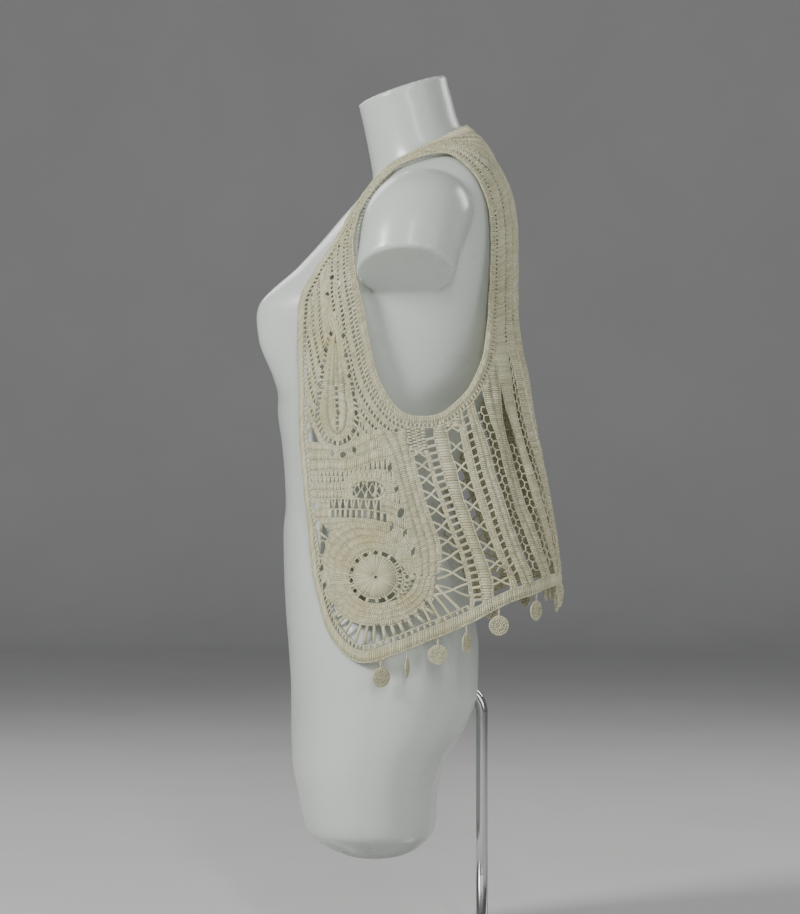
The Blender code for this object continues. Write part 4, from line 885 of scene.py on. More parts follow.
def across_line(cloth, table, first, last):
    """Part of a line given as (across, down), between two places across."""
    table = np.array(table, float)
    x = np.linspace(first, last, max(3, int((last - first) / 4)))
    return cloth.place(np.stack([x, np.interp(x, table[:, 0], table[:, 1])], -1))


def front_lace(cloth, loop, edge, band, marks):
    bare = front_openings(cloth)
    work = Work(cloth, loop, SEEDS["front"], bare)
    work.eyelets([h for h in bare if project(cloth.base(h.mean(0)))[1] < NO_EYELETS])
    fine = cloth.resample(edge[marks["neck"] : marks["edge"][0] + 1, :2], FINE)

    # Open row beside the border and the hem
    back = cloth.beside(fine, -OPEN_ROW)
    corner = int(np.argmax(project(cloth.base(fine))[:, 1]))
    work.row(fine[: corner + 1], back[: corner + 1], pitch=5.0 * MM, wide=1.15 * MM)
    work.row(fine[corner:], back[corner:], pitch=7.1 * MM, wide=1.7 * MM)
    work.rope(back, half=1.15 * MM)
    work.close(np.vstack([fine, back[::-1]]))

    # Spokes between the wheel's band and that row, and bars on its other side
    for turns, reach, half in ((SPOKES, SPOKE_LONG, 2.1 * MM), (WAVE_BARS, WAVE_BAR_LONG, 1.5 * MM)):
        first, last, step = min(turns) - 6, max(turns) + 6, 0.5
        inner, outer = (spiral(cloth, first, last, step, grow) for grow in (0.0, reach))
        at = [round((t - first) / step) for t in turns]
        work.posts(inner[1][at], outer[1][at], half, 1.25 * MM, samples=31)
        work.close(np.vstack([inner[1], outer[1][::-1]]))

    # The slanted band along the seam, which curls round the wheel
    down = np.arange(432, 578, 4.0)
    left, right = seen_lines(cloth, [SLANT_LEFT, SEAM_FRONT], down)
    work.row(left, right, pitch=2.2 * MM, split=3, lean=-9 * MM, ropes=(0.0,), wide=1.3 * MM, bow=0.2 * MM)
    inner, outer = spiral(cloth, 0, 356)
    work.rounds(inner, outer, 4, pitch=2.25 * MM, lean=-0.8 * MM, wide=1.28 * MM, bow=0.3 * MM)
    work.close(np.vstack([left, right[::-1]]))
    work.close(np.vstack([inner, outer[::-1]]))

    # The wheel's hub, its ring of holes and the small lattice beside it
    a = np.radians(np.arange(0, 360, 360 / 42)) + 0.02
    spokes = cloth.place(by_wheel(np.array([2.6, 12.0, 21.4]), a[:, None]))
    work.lay(spokes, *(np.array(v) * MM for v in ([0.1, 0.3, 0.2], [0.5, 1.15, 1.85], [0.7, 1.0, 1.0])))
    for r, half in ((2.4, 0.8), (21.6, 0.95), (27.2, 0.95)):
        work.rope(circle(cloth, r), half=half * MM, high=0.4 * MM)
    holes = sorted([*WHEEL_AT, 52.0, 293.0, 316.0])
    gaps = [(p + q) / 2 for p, q in zip(holes, holes[1:])] + list(range(-34, 42, 8))
    for turn in gaps:
        ends = (on_circle(cloth, r, turn) for r in (21.0, 28.0))
        work.posts(*ends, wide=1.9 * MM if turn > 45 else 1.1 * MM)
    inner, _ = spiral(cloth, 0, 44, step=1.0)
    for turn in range(-14, 44, 8):
        for way in (-9, 9):
            far = min(max(turn + way, 0), 43)
            work.posts(on_circle(cloth, 27.5, turn), inner[far : far + 1], wide=1.05 * MM)
    work.close(circle(cloth, 29.0))

    # Long bars to the hem across the seam
    work.bars(cloth.place(LONG_BARS), wide=1.9 * MM, thick=1.2 * MM)

    # The drop: an open ring, two solid ones and the core either side of its middle holes
    rounds = (3.6, 0.3), (-2.4, 0.3), (-9.0, 0.4), (DROP_CORE, 2.2)
    for side in (-1, 1):
        nested = [drop_line(cloth, grow, side, least) for grow, least in rounds]
        work.row(nested[0], nested[1], pitch=5.9 * MM, wide=1.45 * MM, ropes=(0.0, 1.0))
        work.rounds(nested[1], nested[2], 2, ends=(False, False), pitch=2.3 * MM, bow=0.3 * MM)
        work.row(nested[2], nested[3], pitch=2.2 * MM, high=0.2 * MM)
    for first, how in ((0.0, {}), (0.5, {"pitch": 6.6 * MM, "wide": 1.5 * MM, "ropes": (0.0, 1.0)})):
        work.row(*(drop_line(cloth, DROP_CORE, side, 2.2, first, first + 0.5) for side in (-1, 1)), **how)
    work.close(np.vstack([drop_line(cloth, 3.6, -1), drop_line(cloth, 3.6, 1)[::-1]]))

    # The waves between drop and wheel: a lens with rows that run round it, a zigzag, a row of square holes
    lens = cloth.resample(cloth.place(LENS), 3.0 * MM, closed=True)
    half = len(lens) // 2
    work.row(lens[1:half], lens[:half:-1], pitch=4.6 * MM, wide=1.3 * MM, zigzag=2.2 * MM)
    lens = np.vstack([lens, lens[:1]])
    work.close(lens)
    top, low = (across_line(cloth, WAVES[k], 325, 392) for k in (3, 5))
    work.close(np.vstack([top, low[::-1]]))
    for _ in range(3):
        far = cloth.beside(lens, -4.4 * MM)
        work.row(lens, far, ropes=(0.0,), pitch=2.5 * MM)
        lens = cloth.resample(far, FINE)
    work.closed.pop()
    west, slant = 296, 404
    one = {"ropes": (0.0,)}
    parts = [
        (3, west, 330, {"split": 2, "ropes": (0.0, 0.5)}),
        (3, 330, 381, {"pitch": 4.1 * MM, "wide": 1.25 * MM, "zigzag": 1.6 * MM, **one}),
        (3, 381, slant + 2, {"split": 2, **one}),
        (4, west, 331, one),
        (4, 331, 388, {"pitch": 6.8 * MM, "wide": 2.0 * MM, **one}),
        (4, 388, slant + 5, one),
        (0, west, slant, {"split": 3, "ropes": (0.0, 0.33, 0.66)}),
        (1, west, slant, {"split": 2, "ropes": (0.0, 0.5), "pitch": 2.7 * MM, "zigzag": 1.5 * MM}),
        (2, west, slant, {"split": 2, "ropes": (0.0, 0.5), "zigzag": 0.8 * MM}),
        (5, west, slant + 12, {"split": 4, "ropes": (0.0, 0.25, 0.5, 0.75)}),
    ]
    for k, first, last, how in parts:
        work.row(*(across_line(cloth, WAVES[i], first, last) for i in (k, k + 1)), **how)
    top, low = across_line(cloth, WAVES[0], west, slant), across_line(cloth, WAVES[-1], west, slant + 12)
    work.close(np.vstack([top, low[::-1]]))

    # Columns that follow the armhole, open and closed by turns
    first = marks["arm"][0]
    line = cloth.resample(band[: first + 2, :2], 5.0 * MM)
    for k in range(18):
        off = cloth.beside(line, (4.2 if k % 2 else 4.8) * MM)
        off = off[(off[:, 1] > 0.1) & (off[:, 0] > 3)]
        if len(off) < 6:
            break
        off = cloth.resample(smoothed(off, 2), 5.0 * MM)
        how = {} if k % 2 else {"pitch": 4.9 * MM, "wide": 1.2 * MM, "lean": 1.0 * MM}
        work.row(line, off, **one, **how)
        line = off
    return work


def seen_lines(cloth, tables, down):
    """Lines given as (across, down) tables, all cut at the same heights."""
    made = []
    for t in tables:
        t = np.array(t, float)
        x = np.interp(down, t[:, 1], t[:, 0])
        made.append(cloth.place(np.stack([x, down], -1)))
    return made


def shifted(table, across):
    return [(x + across, y) for x, y in table]


def trellis(cloth, work, left, right, centres, cross, reach_left, reach_right, half):
    """Crossed strands between two lines of the side view, a pair between each opening and the next."""
    left, right = np.array(left, float), np.array(right, float)
    marks = [y for _, y, _, _ in centres]
    nodes = [marks[0] - (marks[1] - marks[0]) * 0.55] + [(a + b) / 2 for a, b in zip(marks, marks[1:])]
    gaps = [marks[1] - marks[0]] + [b - a for a, b in zip(marks, marks[1:])]
    strands = []
    for y, gap in zip(nodes, gaps):
        for way in (1, -1):
            ya, yb = y - way * reach_left * gap, y + way * reach_right * gap
            xa = np.interp(ya, left[:, 1], left[:, 0]) - 1.0
            xb = np.interp(yb, right[:, 1], right[:, 0]) + 1.0
            xm = xa + (xb - xa) * cross
            before = xa * 0.6 + xm * 0.4, y - way * reach_left * gap * 0.75
            after = xb * 0.6 + xm * 0.4, y + way * reach_right * gap * 0.75
            strands.append([(xa, ya), before, (xm, y), after, (xb, yb)])
    work.bars(cloth.place(strands), wide=half, thick=1.0 * MM, high=0.1 * MM)


def side_lace(cloth, loop, edge, marks):
    work = Work(cloth, loop, SEEDS["side"])

    # The open row beside the hem runs on as far as the ladder
    hem = cloth.resample(edge[marks["edge"][0] - 1 : marks["edge"][1] + 1, :2], FINE)[:13]
    back = cloth.beside(hem, -OPEN_ROW)
    work.row(hem, back, pitch=7.1 * MM, wide=1.7 * MM)
    work.rope(back, half=1.15 * MM, masked=False)

    # Strips of posts along the seams, the trellises and the ladder
    top, step = 396, 3
    down = np.arange(top, 616.0, step)
    trellis_right = shifted(LADDER, -7.9)
    tables = [SEAM_FRONT, TRELLIS_LEFT, trellis_right, shifted(LADDER, -4.3), shifted(LADDER, 4.3)]
    tables += [RIBS_RIGHT, TRELLIS_RIGHT, SEAM_BACK]
    seam, a_left, a_right, slots_left, slots_right, ribs, b_right, seam_back = seen_lines(cloth, tables, down)
    split_a, split_b, low = (int((y - top) / step) for y in (453, 428, 578))
    upper_a, upper_b = slice(split_a + 1), slice(split_b + 1)
    work.row(seam[split_a:low], a_left[split_a:low], ropes=(0.0, 1.0))
    work.row(seam[upper_a], slots_left[upper_a], split=4, ropes=(0.0, 0.5), pitch=3.3 * MM, wide=1.2 * MM)
    work.row(a_right[split_a:], slots_left[split_a:], ropes=(0.0, 0.9))
    work.row(slots_right, ribs, pitch=2.9 * MM, wide=1.62 * MM, thick=1.1 * MM, ropes=(0.0, 1.0))
    work.row(ribs[upper_b], seam_back[upper_b], split=2, ropes=(0.5,), pitch=3.0 * MM, wide=1.2 * MM)
    work.row(b_right[split_b:], seam_back[split_b:], ropes=(0.0, 1.0))
    trellis(cloth, work, TRELLIS_LEFT, trellis_right, TRELLIS[:10], 0.52, 0.30, 0.42, 1.35 * MM)
    trellis(cloth, work, RIBS_RIGHT, TRELLIS_RIGHT, TRELLIS[10:], 0.5, 0.27, 0.27, 1.3 * MM)

    # A broken strand that has curled out of the lattice
    curl = rows(cloth.place(TORN), np.linspace(0, len(TORN) - 1, 13))[None]
    work.lay(curl, 0.4 * MM + 3.2 * MM * np.sin(np.linspace(0, 2.6, 13)), 0.75 * MM, 0.75 * MM)

    # The ladder's rungs lie between its slots
    track = Track(cloth, cloth.place(LADDER))
    rungs = np.arange(0.006 - LADDER_PITCH / 2, 0.205, LADDER_PITCH)
    ends = (track.at(rungs, across) for across in (5.2 * MM, -5.2 * MM))
    work.bars(halved(*ends), wide=1.75 * MM, thick=1.1 * MM, points=5)
    for line in (seam[:low], seam_back):
        work.rope(line)
    return work


def net(work, track, first, reach):
    """A net of two rows of cells, half a cell apart.

    A strand waves down the middle and is tied to either side by short bars; where the net is narrow
    there are only bars right across it.
    """
    pitch, thick = NET_PITCH, NET_YARN
    k = np.arange(first - math.floor(first / pitch) * pitch - pitch, track.long, pitch / 2)
    k = k[k > 0]
    wide = reach(k)
    narrow = (wide > 0.7 * MM) & (wide <= 3.0 * MM)
    a, b = (track.at(k[narrow], s * (wide[narrow] + 0.8 * MM)) for s in (1, -1))
    work.bars(halved(a, b), wide=1.05 * MM, thick=0.9 * MM, points=3, masked=True)
    left_turn = np.round((k - first) / (pitch / 2)).astype(int) % 2 == 0
    k, left_turn, wide = (x[wide > 3.0 * MM] for x in (k, left_turn, wide))
    sway = 1.1 * MM * np.minimum(wide / NET_WIDE, 1)
    mid = track.at(k, np.where(left_turn, -sway, sway))
    for a in range(0, len(k) - 2, 2):
        work.bars(mid[None, a : a + 3], wide=thick, thick=thick, points=5, masked=True)
    side = np.where(left_turn, -1.0, 1.0)
    far = track.at(k + 1.0 * MM, side * (wide + 0.6 * MM))
    work.bars(halved(mid, far), wide=thick * 1.1, thick=thick, points=3, masked=True)


def back_lace(cloth, loop, edge, band, marks):
    work = Work(cloth, loop, SEEDS["back"])
    low = np.arange(UNDERARM, 14.5, 0.12)
    by_ring = lambda line: np.stack([np.interp(low, line[:, 1], line[:, 0]), low], -1)

    # Nets that the side view shows, between the seam and the first band behind the armhole
    tracks, edges = {}, {}
    for k, (half, top, end) in NET_ENDS.items():
        line = cloth.place(NETS[k])
        tracks[k] = Track(cloth, line)
        whole = Track(cloth, np.vstack([np.array(top), line, np.array([end])]))
        edges[k] = [by_ring(whole.line(s * half)) for s in (1, -1)]
    pinch = np.clip((low - 9.0) / 1.4, 0.05, 1)[:, None]
    middle = (edges[3][0] + edges[3][1]) / 2
    edges[3] = [middle + (line - middle) * pinch for line in edges[3]]
    order = lambda pair: sorted(pair, key=lambda line: line[:, 0].mean())
    edges = {k: order(pair) for k, pair in edges.items()}
    work.row(by_ring(cloth.place(SEAM_BACK)), edges[1][0], ropes=(0.0, 1.0))
    work.row(edges[1][1], edges[2][0], split=2, ropes=(0.0, 1.0))
    work.row(edges[2][1], edges[3][0], split=2, ropes=(0.0, 1.0))

    # Net 1: slanted bars between single cells
    track = tracks[1]
    bars = np.arange(0.022 - 2.5 * SINGLE_PITCH, track.long + 0.02, SINGLE_PITCH)
    bars = bars[(bars > 0.0) & (bars < track.long)]
    ends = (track.at(bars + s * 1.1 * MM, s * 4.2 * MM) for s in (1, -1))
    work.bars(halved(*ends), wide=1.25 * MM, points=5, masked=True)
    for k, first in ((2, 0.088), (3, 0.076)):
        net(work, tracks[k], first, lambda d: np.clip(0.6 + d / 0.05, 0, 1) * NET_WIDE)

    # Nets behind, from the shoulder down
    top = marks["arm"][1]
    arm = cloth.resample(np.vstack([band[:1, :2], band[:top:-1, :2]]), FINE)
    arm = arm[: int(np.argmax(arm[:, 1] > UNDERARM))]
    neck = edge[: marks["neck"] + 1, :2][::-1]
    spine = np.stack([np.full(30, 180.0), np.linspace(neck[-1, 1], UNDERARM, 31)[1:]], -1)
    centre = cloth.resample(np.vstack([neck, spine]), FINE)
    steps = 40
    near, far = cloth.spaced(arm, steps), cloth.spaced(centre, steps)
    share = np.linspace(0, 1, steps)
    levels = np.linspace(UNDERARM, LOWEST, 34)[1:]
    width = np.concatenate([np.interp(share, *zip(*FAN_REACH)), np.interp(levels, *zip(*LOW_REACH))])
    walls = []
    for f, table, begin in zip(FAN, NETS_BEHIND, FAN_BEGIN):
        v, u = np.array(table, float).T
        start = near + (far - near) * f
        start[:, 0] += (u[0] - start[-1, 0]) * share**2
        line = smoothed(np.vstack([start, np.stack([np.interp(levels, v, u), levels], -1)]), 4)
        reach = np.maximum(width * np.clip((line[:, 1] - begin) / 0.7, 0, 1), SLIT)
        walls += order([cloth.beside(line, s * reach) for s in (1, -1)])
        net(work, Track(cloth, line), 0.004, lambda d: np.interp(d, cloth.lengths(line), reach))
    last_wall = np.vstack([far, np.stack([np.full(len(levels), 180.0), levels], -1)])
    bounds = [np.vstack([near[:-1], edges[3][1]]), *walls, last_wall]
    for k in range(0, len(bounds), 2):
        left, right = bounds[k], bounds[k + 1]
        work.row(left[:steps], right[:steps], wide=1.32 * MM, bow=1.5 * MM, points=5)
        work.row(left[steps - 1 :], right[steps - 1 :], wide=1.4 * MM, bow=1.2 * MM, points=5)
        for line in (left, right):
            work.rope(line[steps - 1 :], high=0.1 * MM)
    return work


def smoothed(line, times):
    line = line.copy()
    for _ in range(times):
        line[1:-1] = (line[:-2] + 2 * line[1:-1] + line[2:]) / 4
    return line


def plain(cloth, seed):
    """Work with no outline of its own, for the bands round the edges."""
    return Work(cloth, np.array([(-20.0, -3), (200, -3), (200, 18), (-20, 18)]), seed)


def edge_lace(cloth, edge):
    work = plain(cloth, SEEDS["edge"])
    inner, outer = (cloth.resample(line, FINE) for line in (edge[:, :2], edge[:, 2:]))
    work.row(inner, outer, pitch=2.5 * MM, wide=1.3 * MM, thick=1.15 * MM, ropes=(0.02, 0.5))
    work.rope(outer, half=1.25 * MM, pitch=2.6 * MM, high=0.0)
    return work


def armhole_lace(cloth, band):
    work = plain(cloth, SEEDS["armhole"])
    far, arm = (cloth.resample(band[:, c : c + 2], FINE, closed=True) for c in (0, 2))
    far, arm = (cloth.spaced(np.vstack([line, line[:1]]), 190) for line in (far, arm))
    ridge = far + (arm - far) * 0.42
    work.row(ridge, arm, pitch=2.5 * MM, wide=1.3 * MM, thick=1.2 * MM, bow=0.8 * MM)
    work.row(far, ridge, pitch=4.4 * MM, wide=1.45 * MM, ropes=(0.02, 1.0))
    work.rope(arm, half=1.3 * MM, pitch=2.6 * MM, high=0.0)
    return work


def disc_lace(name, top, out, along, turn, mat):
    """A crocheted disc on two strands, hanging straight down from top."""
    a = math.atan2(out[1], out[0]) + math.radians(turn)
    face = np.array([math.cos(a), math.sin(a), 0])
    side = np.array([-math.sin(a), math.cos(a), 0])
    under = np.cross(along, out)
    corners = [side * STEM_HALF * i + face * DISC_THICK / 2 * j for i in (1, -1) for j in (1, -1)]
    top = top - [0, 0, STEM_GAP + max(c @ under / under[2] for c in corners)]
    rng = np.random.default_rng(sum((i + 1) * ord(c) for i, c in enumerate(name)))
    middle = top - [0, 0, STEM + DISC_R]
    dish = rng.uniform(0.1, 0.5) * MM * rng.choice([-1, 1])
    strands = []

    def add(lines, wide, thick, high=0.0):
        """Lines are (n, k, 2) in the disc's own plane: to the side and up from its middle."""
        r = np.linalg.norm(lines, axis=-1, keepdims=True) / DISC_R
        p = middle + lines[..., :1] * side + lines[..., 1:] * [0, 0, 1] + face * (high + dish * r**2)
        q = np.broadcast_to(face, p.shape)
        n, k = p.shape[:2]
        strands.append((p, q, np.broadcast_to(wide, (n, k)), np.broadcast_to(thick, (n, k))))

    def spokes(r0, r1, count, wide):
        t = (np.arange(count) + rng.uniform(0, 1)) * 2 * math.pi / count
        t = (t + rng.uniform(-0.25, 0.25, count) / count)[:, None]
        r = np.linspace(r0, r1, 3)
        lines = np.stack([r * np.cos(t), r * np.sin(t)], -1)
        add(lines, wide * np.array([0.85, 1.0, 0.9]), 1.15 * MM * np.array([0.85, 1.0, 0.85]))

    def hoop(r, half, count, high=0.0):
        t = (np.arange(count)[:, None] + np.linspace(-0.62, 0.62, 3)) * 2 * math.pi / count
        grown = r + np.array([-0.3, 0.0, 0.3]) * half
        size = half * np.array([0.65, 1.0, 0.65])
        add(np.stack([grown * np.cos(t), grown * np.sin(t)], -1), size, size, high)

    spokes(0.9 * MM, 3.9 * MM, 7, 1.15 * MM)
    spokes(3.7 * MM, 7.2 * MM, 15, 1.15 * MM)
    spokes(6.9 * MM, 9.9 * MM, 24, 1.1 * MM)
    for r, n in ((3.8, 9), (7.05, 17)):
        for high in (0.85, -0.85):
            hoop(r * MM, 0.75 * MM, n, high * MM)
    hoop(9.75 * MM, 1.05 * MM, 26)
    t = np.linspace(0, 1, 5)
    stem = []
    for s in (-1, 1):
        x = s * 0.75 * MM * np.cos(t * math.pi * 1.5)
        stem.append(np.stack([x, DISC_R - 1.2 * MM + (STEM + 1.3 * MM) * t], -1))
    add(np.array(stem), 0.8 * MM, 0.8 * MM)
    return yarn_mesh(name, strands, 4, mat)


def disc_pieces(cloth, edge, mat):
    """The discs along the hem, on the same marks as the frame's."""
    hem = edge[len(edge) // 2 :, 2:]
    fine = rows(hem, np.arange(0, len(hem) - 1 + 1e-9, 0.05))
    at = cloth.wall(fine)
    s = np.r_[0, np.cumsum(np.linalg.norm(np.diff(at, axis=0), axis=1))]
    seen = project(at)
    low = int(np.argmax(seen[:, 1]))
    marks = []
    for across, turn in DISCS:
        i = low + int(np.argmin(np.abs(seen[low:, 0] - across)))
        marks.append((s[i], turn))
    rest = s[-1] - marks[-1][0]
    count = round(rest / DISC_PITCH - 0.5)
    pitch = rest / (count + 0.5)
    for k in range(count):
        marks.append((marks[-1][0] + pitch, DISC_TURNS[k % len(DISC_TURNS)]))
    out, along = cloth.normal(fine), np.gradient(at, axis=0)
    made = []
    for d, turn in marks:
        for sign in (1, -1):
            place = (cut(v, s, d) * [sign, 1, 1] for v in (at, out, along))
            obj = disc_lace(f"hanging_disc_{len(made) + 1:02d}", *place, turn * sign, mat)
            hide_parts(f"disc_{len(made) + 1:02d}")
            made.append(obj)
    return made


def mesh_object(name, points, faces, mat):
    mesh = bpy.data.meshes.new(name)
    mesh.from_pydata([tuple(p) for p in points], [], [tuple(int(i) for i in f) for f in faces])
    mesh.materials.append(mat)
    return put(name, mesh)


def fix_normals(obj):
    b = bmesh.new()
    b.from_mesh(obj.data)
    bmesh.ops.recalc_face_normals(b, faces=b.faces)
    b.to_mesh(obj.data)
    b.free()


def tube(name, points, m, mat):
    """A closed tube through rings of m points each."""
    points = np.asarray(points).reshape(-1, 3)
    last = len(points) - m
    beside = [(j, (j + 1) % m) for j in range(m)]
    faces = [(i + j, i + k, i + m + k, i + m + j) for i in range(0, last, m) for j, k in beside]
    faces += [tuple(range(m))[::-1], tuple(range(last, last + m))]
    obj = mesh_object(name, points, faces, mat)
    fix_normals(obj)
    return obj


def apply(obj, modifier):
    bpy.context.view_layer.objects.active = obj
    bpy.ops.object.modifier_apply(modifier=modifier.name)


def join(obj, tool):
    m = obj.modifiers.new("join", "BOOLEAN")
    m.operation, m.solver, m.object = "UNION", "EXACT", tool
    apply(obj, m)
    bpy.data.objects.remove(tool)


def soften(obj, times, pull=0.55, let=-0.57):
    """Evens the skin without shrinking it: each pass pulls in and lets out again."""
    mesh = obj.data
    n = len(mesh.vertices)
    p = np.empty(n * 3)
    mesh.vertices.foreach_get("co", p)
    p = p.reshape(-1, 3)
    e = np.empty(len(mesh.edges) * 2, int)
    mesh.edges.foreach_get("vertices", e)
    e = e.reshape(-1, 2)
    count = np.bincount(e.ravel(), minlength=n)[:, None]
    near = lambda c: np.bincount(e[:, 0], p[e[:, 1], c], n) + np.bincount(e[:, 1], p[e[:, 0], c], n)
    for _ in range(times):
        for f in (pull, let):
            p = p + f * (np.stack([near(c) for c in range(3)], -1) / count - p)
    mesh.vertices.foreach_set("co", p.ravel())
    mesh.update()


def torso(mat):
    """The dress form: the torso's rings, closed at the neck's cut, and two arm stubs in one smooth skin."""
    steps, around = 180, 128
    t = np.linspace(0, len(FORM) - 1, steps)
    phi = np.arange(around) * 2 * math.pi / around
    row = rows(FORM, t)
    p = ring(row[:, None, :], phi[None, :])
    front = np.clip(np.cos(phi) * 2.2, 0, 1)[None, :]
    front = front * front * (3 - 2 * front)
    p[..., 1] -= row[:, None, 8] * np.exp(-(((np.abs(p[..., 0]) - BUST_X) / BUST_WIDE) ** 2)) * front
    points = p.reshape(-1, 3)
    i, j = np.meshgrid(np.arange(steps - 1), np.arange(around), indexing="ij")
    k = (j + 1) % around
    faces = np.stack([i * around + j, (i + 1) * around + j, (i + 1) * around + k, i * around + k], -1)
    faces = faces.reshape(-1, 4).tolist()
    top, low = len(points), len(points) + 1
    points = np.vstack([points, p[0].mean(0) + NECK_RISE, p[-1].mean(0) + THIGH_DROP])
    for j in range(around):
        k = (j + 1) % around
        faces.append((top, j, k))
        faces.append((low, (steps - 1) * around + k, (steps - 1) * around + j))
    body = mesh_object("torso_form", points, faces, mat)
    fix_normals(body)
    for side in (1, -1):
        points, m = [], 64
        for x, y, z, deep, wide, lean in rows(np.array(STUB), np.linspace(0, len(STUB) - 1, 25)):
            a = math.radians(lean)
            for q in (j * 2 * math.pi / m for j in range(m)):
                over = wide * math.sin(q)
                at = x + over * math.sin(a), y + deep * math.cos(q), z + over * math.cos(a)
                points.append((side * at[0], at[1], at[2]))
        join(body, tube("stub_tool", points, m, mat))
    skin = body.modifiers.new("skin", "REMESH")
    skin.mode = "VOXEL"
    skin.voxel_size = SKIN_VOXEL
    apply(body, skin)
    soften(body, 14)
    slim = body.modifiers.new("slim", "DECIMATE")
    slim.ratio = SKIN_FACES / sum(len(f.vertices) - 2 for f in body.data.polygons)
    apply(body, slim)
    body.data.shade_smooth()
    return body


def round_base(mat):
    """The foot plate, turned from its outline (radius, height)."""
    r, high, edge, chamfer = 0.190, 0.008, 0.0025, 0.0006
    turn = np.linspace(0, math.pi / 2, 7)
    corner = [(r - edge + edge * math.cos(a), high - edge + edge * math.sin(a)) for a in turn]
    outline = np.array([(0.001, 0), (r - chamfer, 0), (r, chamfer), *corner, (0.001, high)])
    m = 128
    t = np.arange(m) * 2 * math.pi / m
    points = np.stack([outline[:, :1] * np.cos(t), outline[:, :1] * np.sin(t), outline[:, 1:] + 0 * t], -1)
    obj = tube("round_base", points, m, mat)
    obj.data.shade_smooth()
    return obj


def stand_rod(mat):
    """The rod, straight up from the plate and bent forward into the form."""
    r, back, high, bend = 0.0065, 0.090, 0.290, 0.028
    turn = np.linspace(0, math.pi / 2, 25)
    arc = [(0, back - bend + bend * math.cos(a), high - bend + bend * math.sin(a)) for a in turn]
    path = np.array([(0, back, 0.0030), (0, back, 0.12), *arc, (0, 0.034, high)])
    side, m, points = np.array([1.0, 0, 0]), 40, []
    for p, way in zip(path, unit(np.gradient(path, axis=0))):
        up = np.cross(side, way)
        points += [p + r * (side * math.cos(a) + up * math.sin(a)) for a in np.arange(m) * 2 * math.pi / m]
    obj = tube("bent_rod", points, m, mat)
    obj.data.shade_smooth()
    return obj


def nodes_of(name):
    mat = bpy.data.materials.new(name)
    mat.use_nodes = True
    tree = mat.node_tree
    return mat, tree.nodes, tree.links, tree.nodes["Principled BSDF"]


def tint(nodes, links, stops, source):
    """Colours at their places along the source's values."""
    ramp = nodes.new("ShaderNodeValToRGB")
    for end, (at, colour) in zip(ramp.color_ramp.elements, (stops[0], stops[-1])):
        end.position, end.color = at, (*colour, 1)
    for at, colour in stops[1:-1]:
        ramp.color_ramp.elements.new(at).color = (*colour, 1)
    links.new(source, ramp.inputs[0])
    return ramp.outputs[0]


def values(node, **by_name):
    """Sets the node's inputs, a _ in a name being a blank."""
    for name, value in by_name.items():
        node.inputs[name.replace("_", " ")].default_value = value
    return node


def noise(nodes, links, scale, detail, rough=0.5):
    place = nodes.new("ShaderNodeTexCoord")
    n = values(nodes.new("ShaderNodeTexNoise"), Scale=scale, Detail=detail, Roughness=rough)
    links.new(place.outputs["Object"], n.inputs["Vector"])
    return n.outputs[0]


def bump(nodes, links, height, strength, distance):
    node = values(nodes.new("ShaderNodeBump"), Strength=strength, Distance=distance)
    links.new(height, node.inputs["Height"])
    return node


def mixed(nodes, links, a, b, share, kind="MIX"):
    m = nodes.new("ShaderNodeMix")
    m.data_type, m.blend_type = "RGBA", kind
    for socket, value in ((m.inputs["Factor"], share), (m.inputs["A"], a), (m.inputs["B"], b)):
        if hasattr(value, "node"):
            links.new(value, socket)
        elif isinstance(value, tuple):
            socket.default_value = (*value, 1)
        else:
            socket.default_value = value
    return m.outputs["Result"]


def yarn_material():
    """Thick cotton gone cream with age.

    A ply twist and fine fibres on each strand, lighter and darker stitches, yellowed places.
    """
    mat, nodes, links, shader = nodes_of("yarn")
    tone = nodes.new("ShaderNodeAttribute")
    tone.attribute_name = "tone"
    yellow = nodes.new("ShaderNodeAttribute")
    yellow.attribute_name = "stain"
    creams = [(0.0, (0.500, 0.480, 0.325)), (0.5, (0.590, 0.570, 0.395)), (1.0, (0.670, 0.650, 0.465))]
    stitch = tint(nodes, links, creams, tone.outputs["Fac"])
    shades = [(0.35, (0.90, 0.88, 0.82)), (0.65, (1.0, 1.0, 1.0))]
    patches = tint(nodes, links, shades, noise(nodes, links, 16, 3))
    colour = mixed(nodes, links, stitch, patches, 1.0, "MULTIPLY")
    share = scaled(nodes, links, yellow.outputs["Fac"], 0.45)
    colour = mixed(nodes, links, colour, (0.46, 0.40, 0.17), share)
    uv = nodes.new("ShaderNodeUVMap")
    uv.uv_map = "strand"
    ply = nodes.new("ShaderNodeTexWave")
    ply.bands_direction = "DIAGONAL"
    ply.wave_profile = "SIN"
    values(ply, Scale=1.0, Distortion=0.3, Detail=0.0)
    stretch = values(nodes.new("ShaderNodeMapping"), Scale=(0.637, 250.0, 1.0))
    links.new(uv.outputs["UV"], stretch.inputs["Vector"])
    links.new(stretch.outputs["Vector"], ply.inputs["Vector"])
    twist = bump(nodes, links, ply.outputs["Fac"], 0.55, 0.4 * MM)
    fibre = bump(nodes, links, noise(nodes, links, 2600, 3, 0.6), 0.35, 0.3 * MM)
    links.new(twist.outputs["Normal"], fibre.inputs["Normal"])
    links.new(fibre.outputs["Normal"], shader.inputs["Normal"])
    links.new(colour, shader.inputs["Base Color"])
    values(shader, Roughness=0.88, Specular_IOR_Level=0.25, Sheen_Weight=0.18, Sheen_Roughness=0.5)
    return mat


def scaled(nodes, links, value, by):
    m = nodes.new("ShaderNodeMath")
    m.operation = "MULTIPLY"
    m.inputs[1].default_value = by
    links.new(value, m.inputs[0])
    return m.outputs[0]


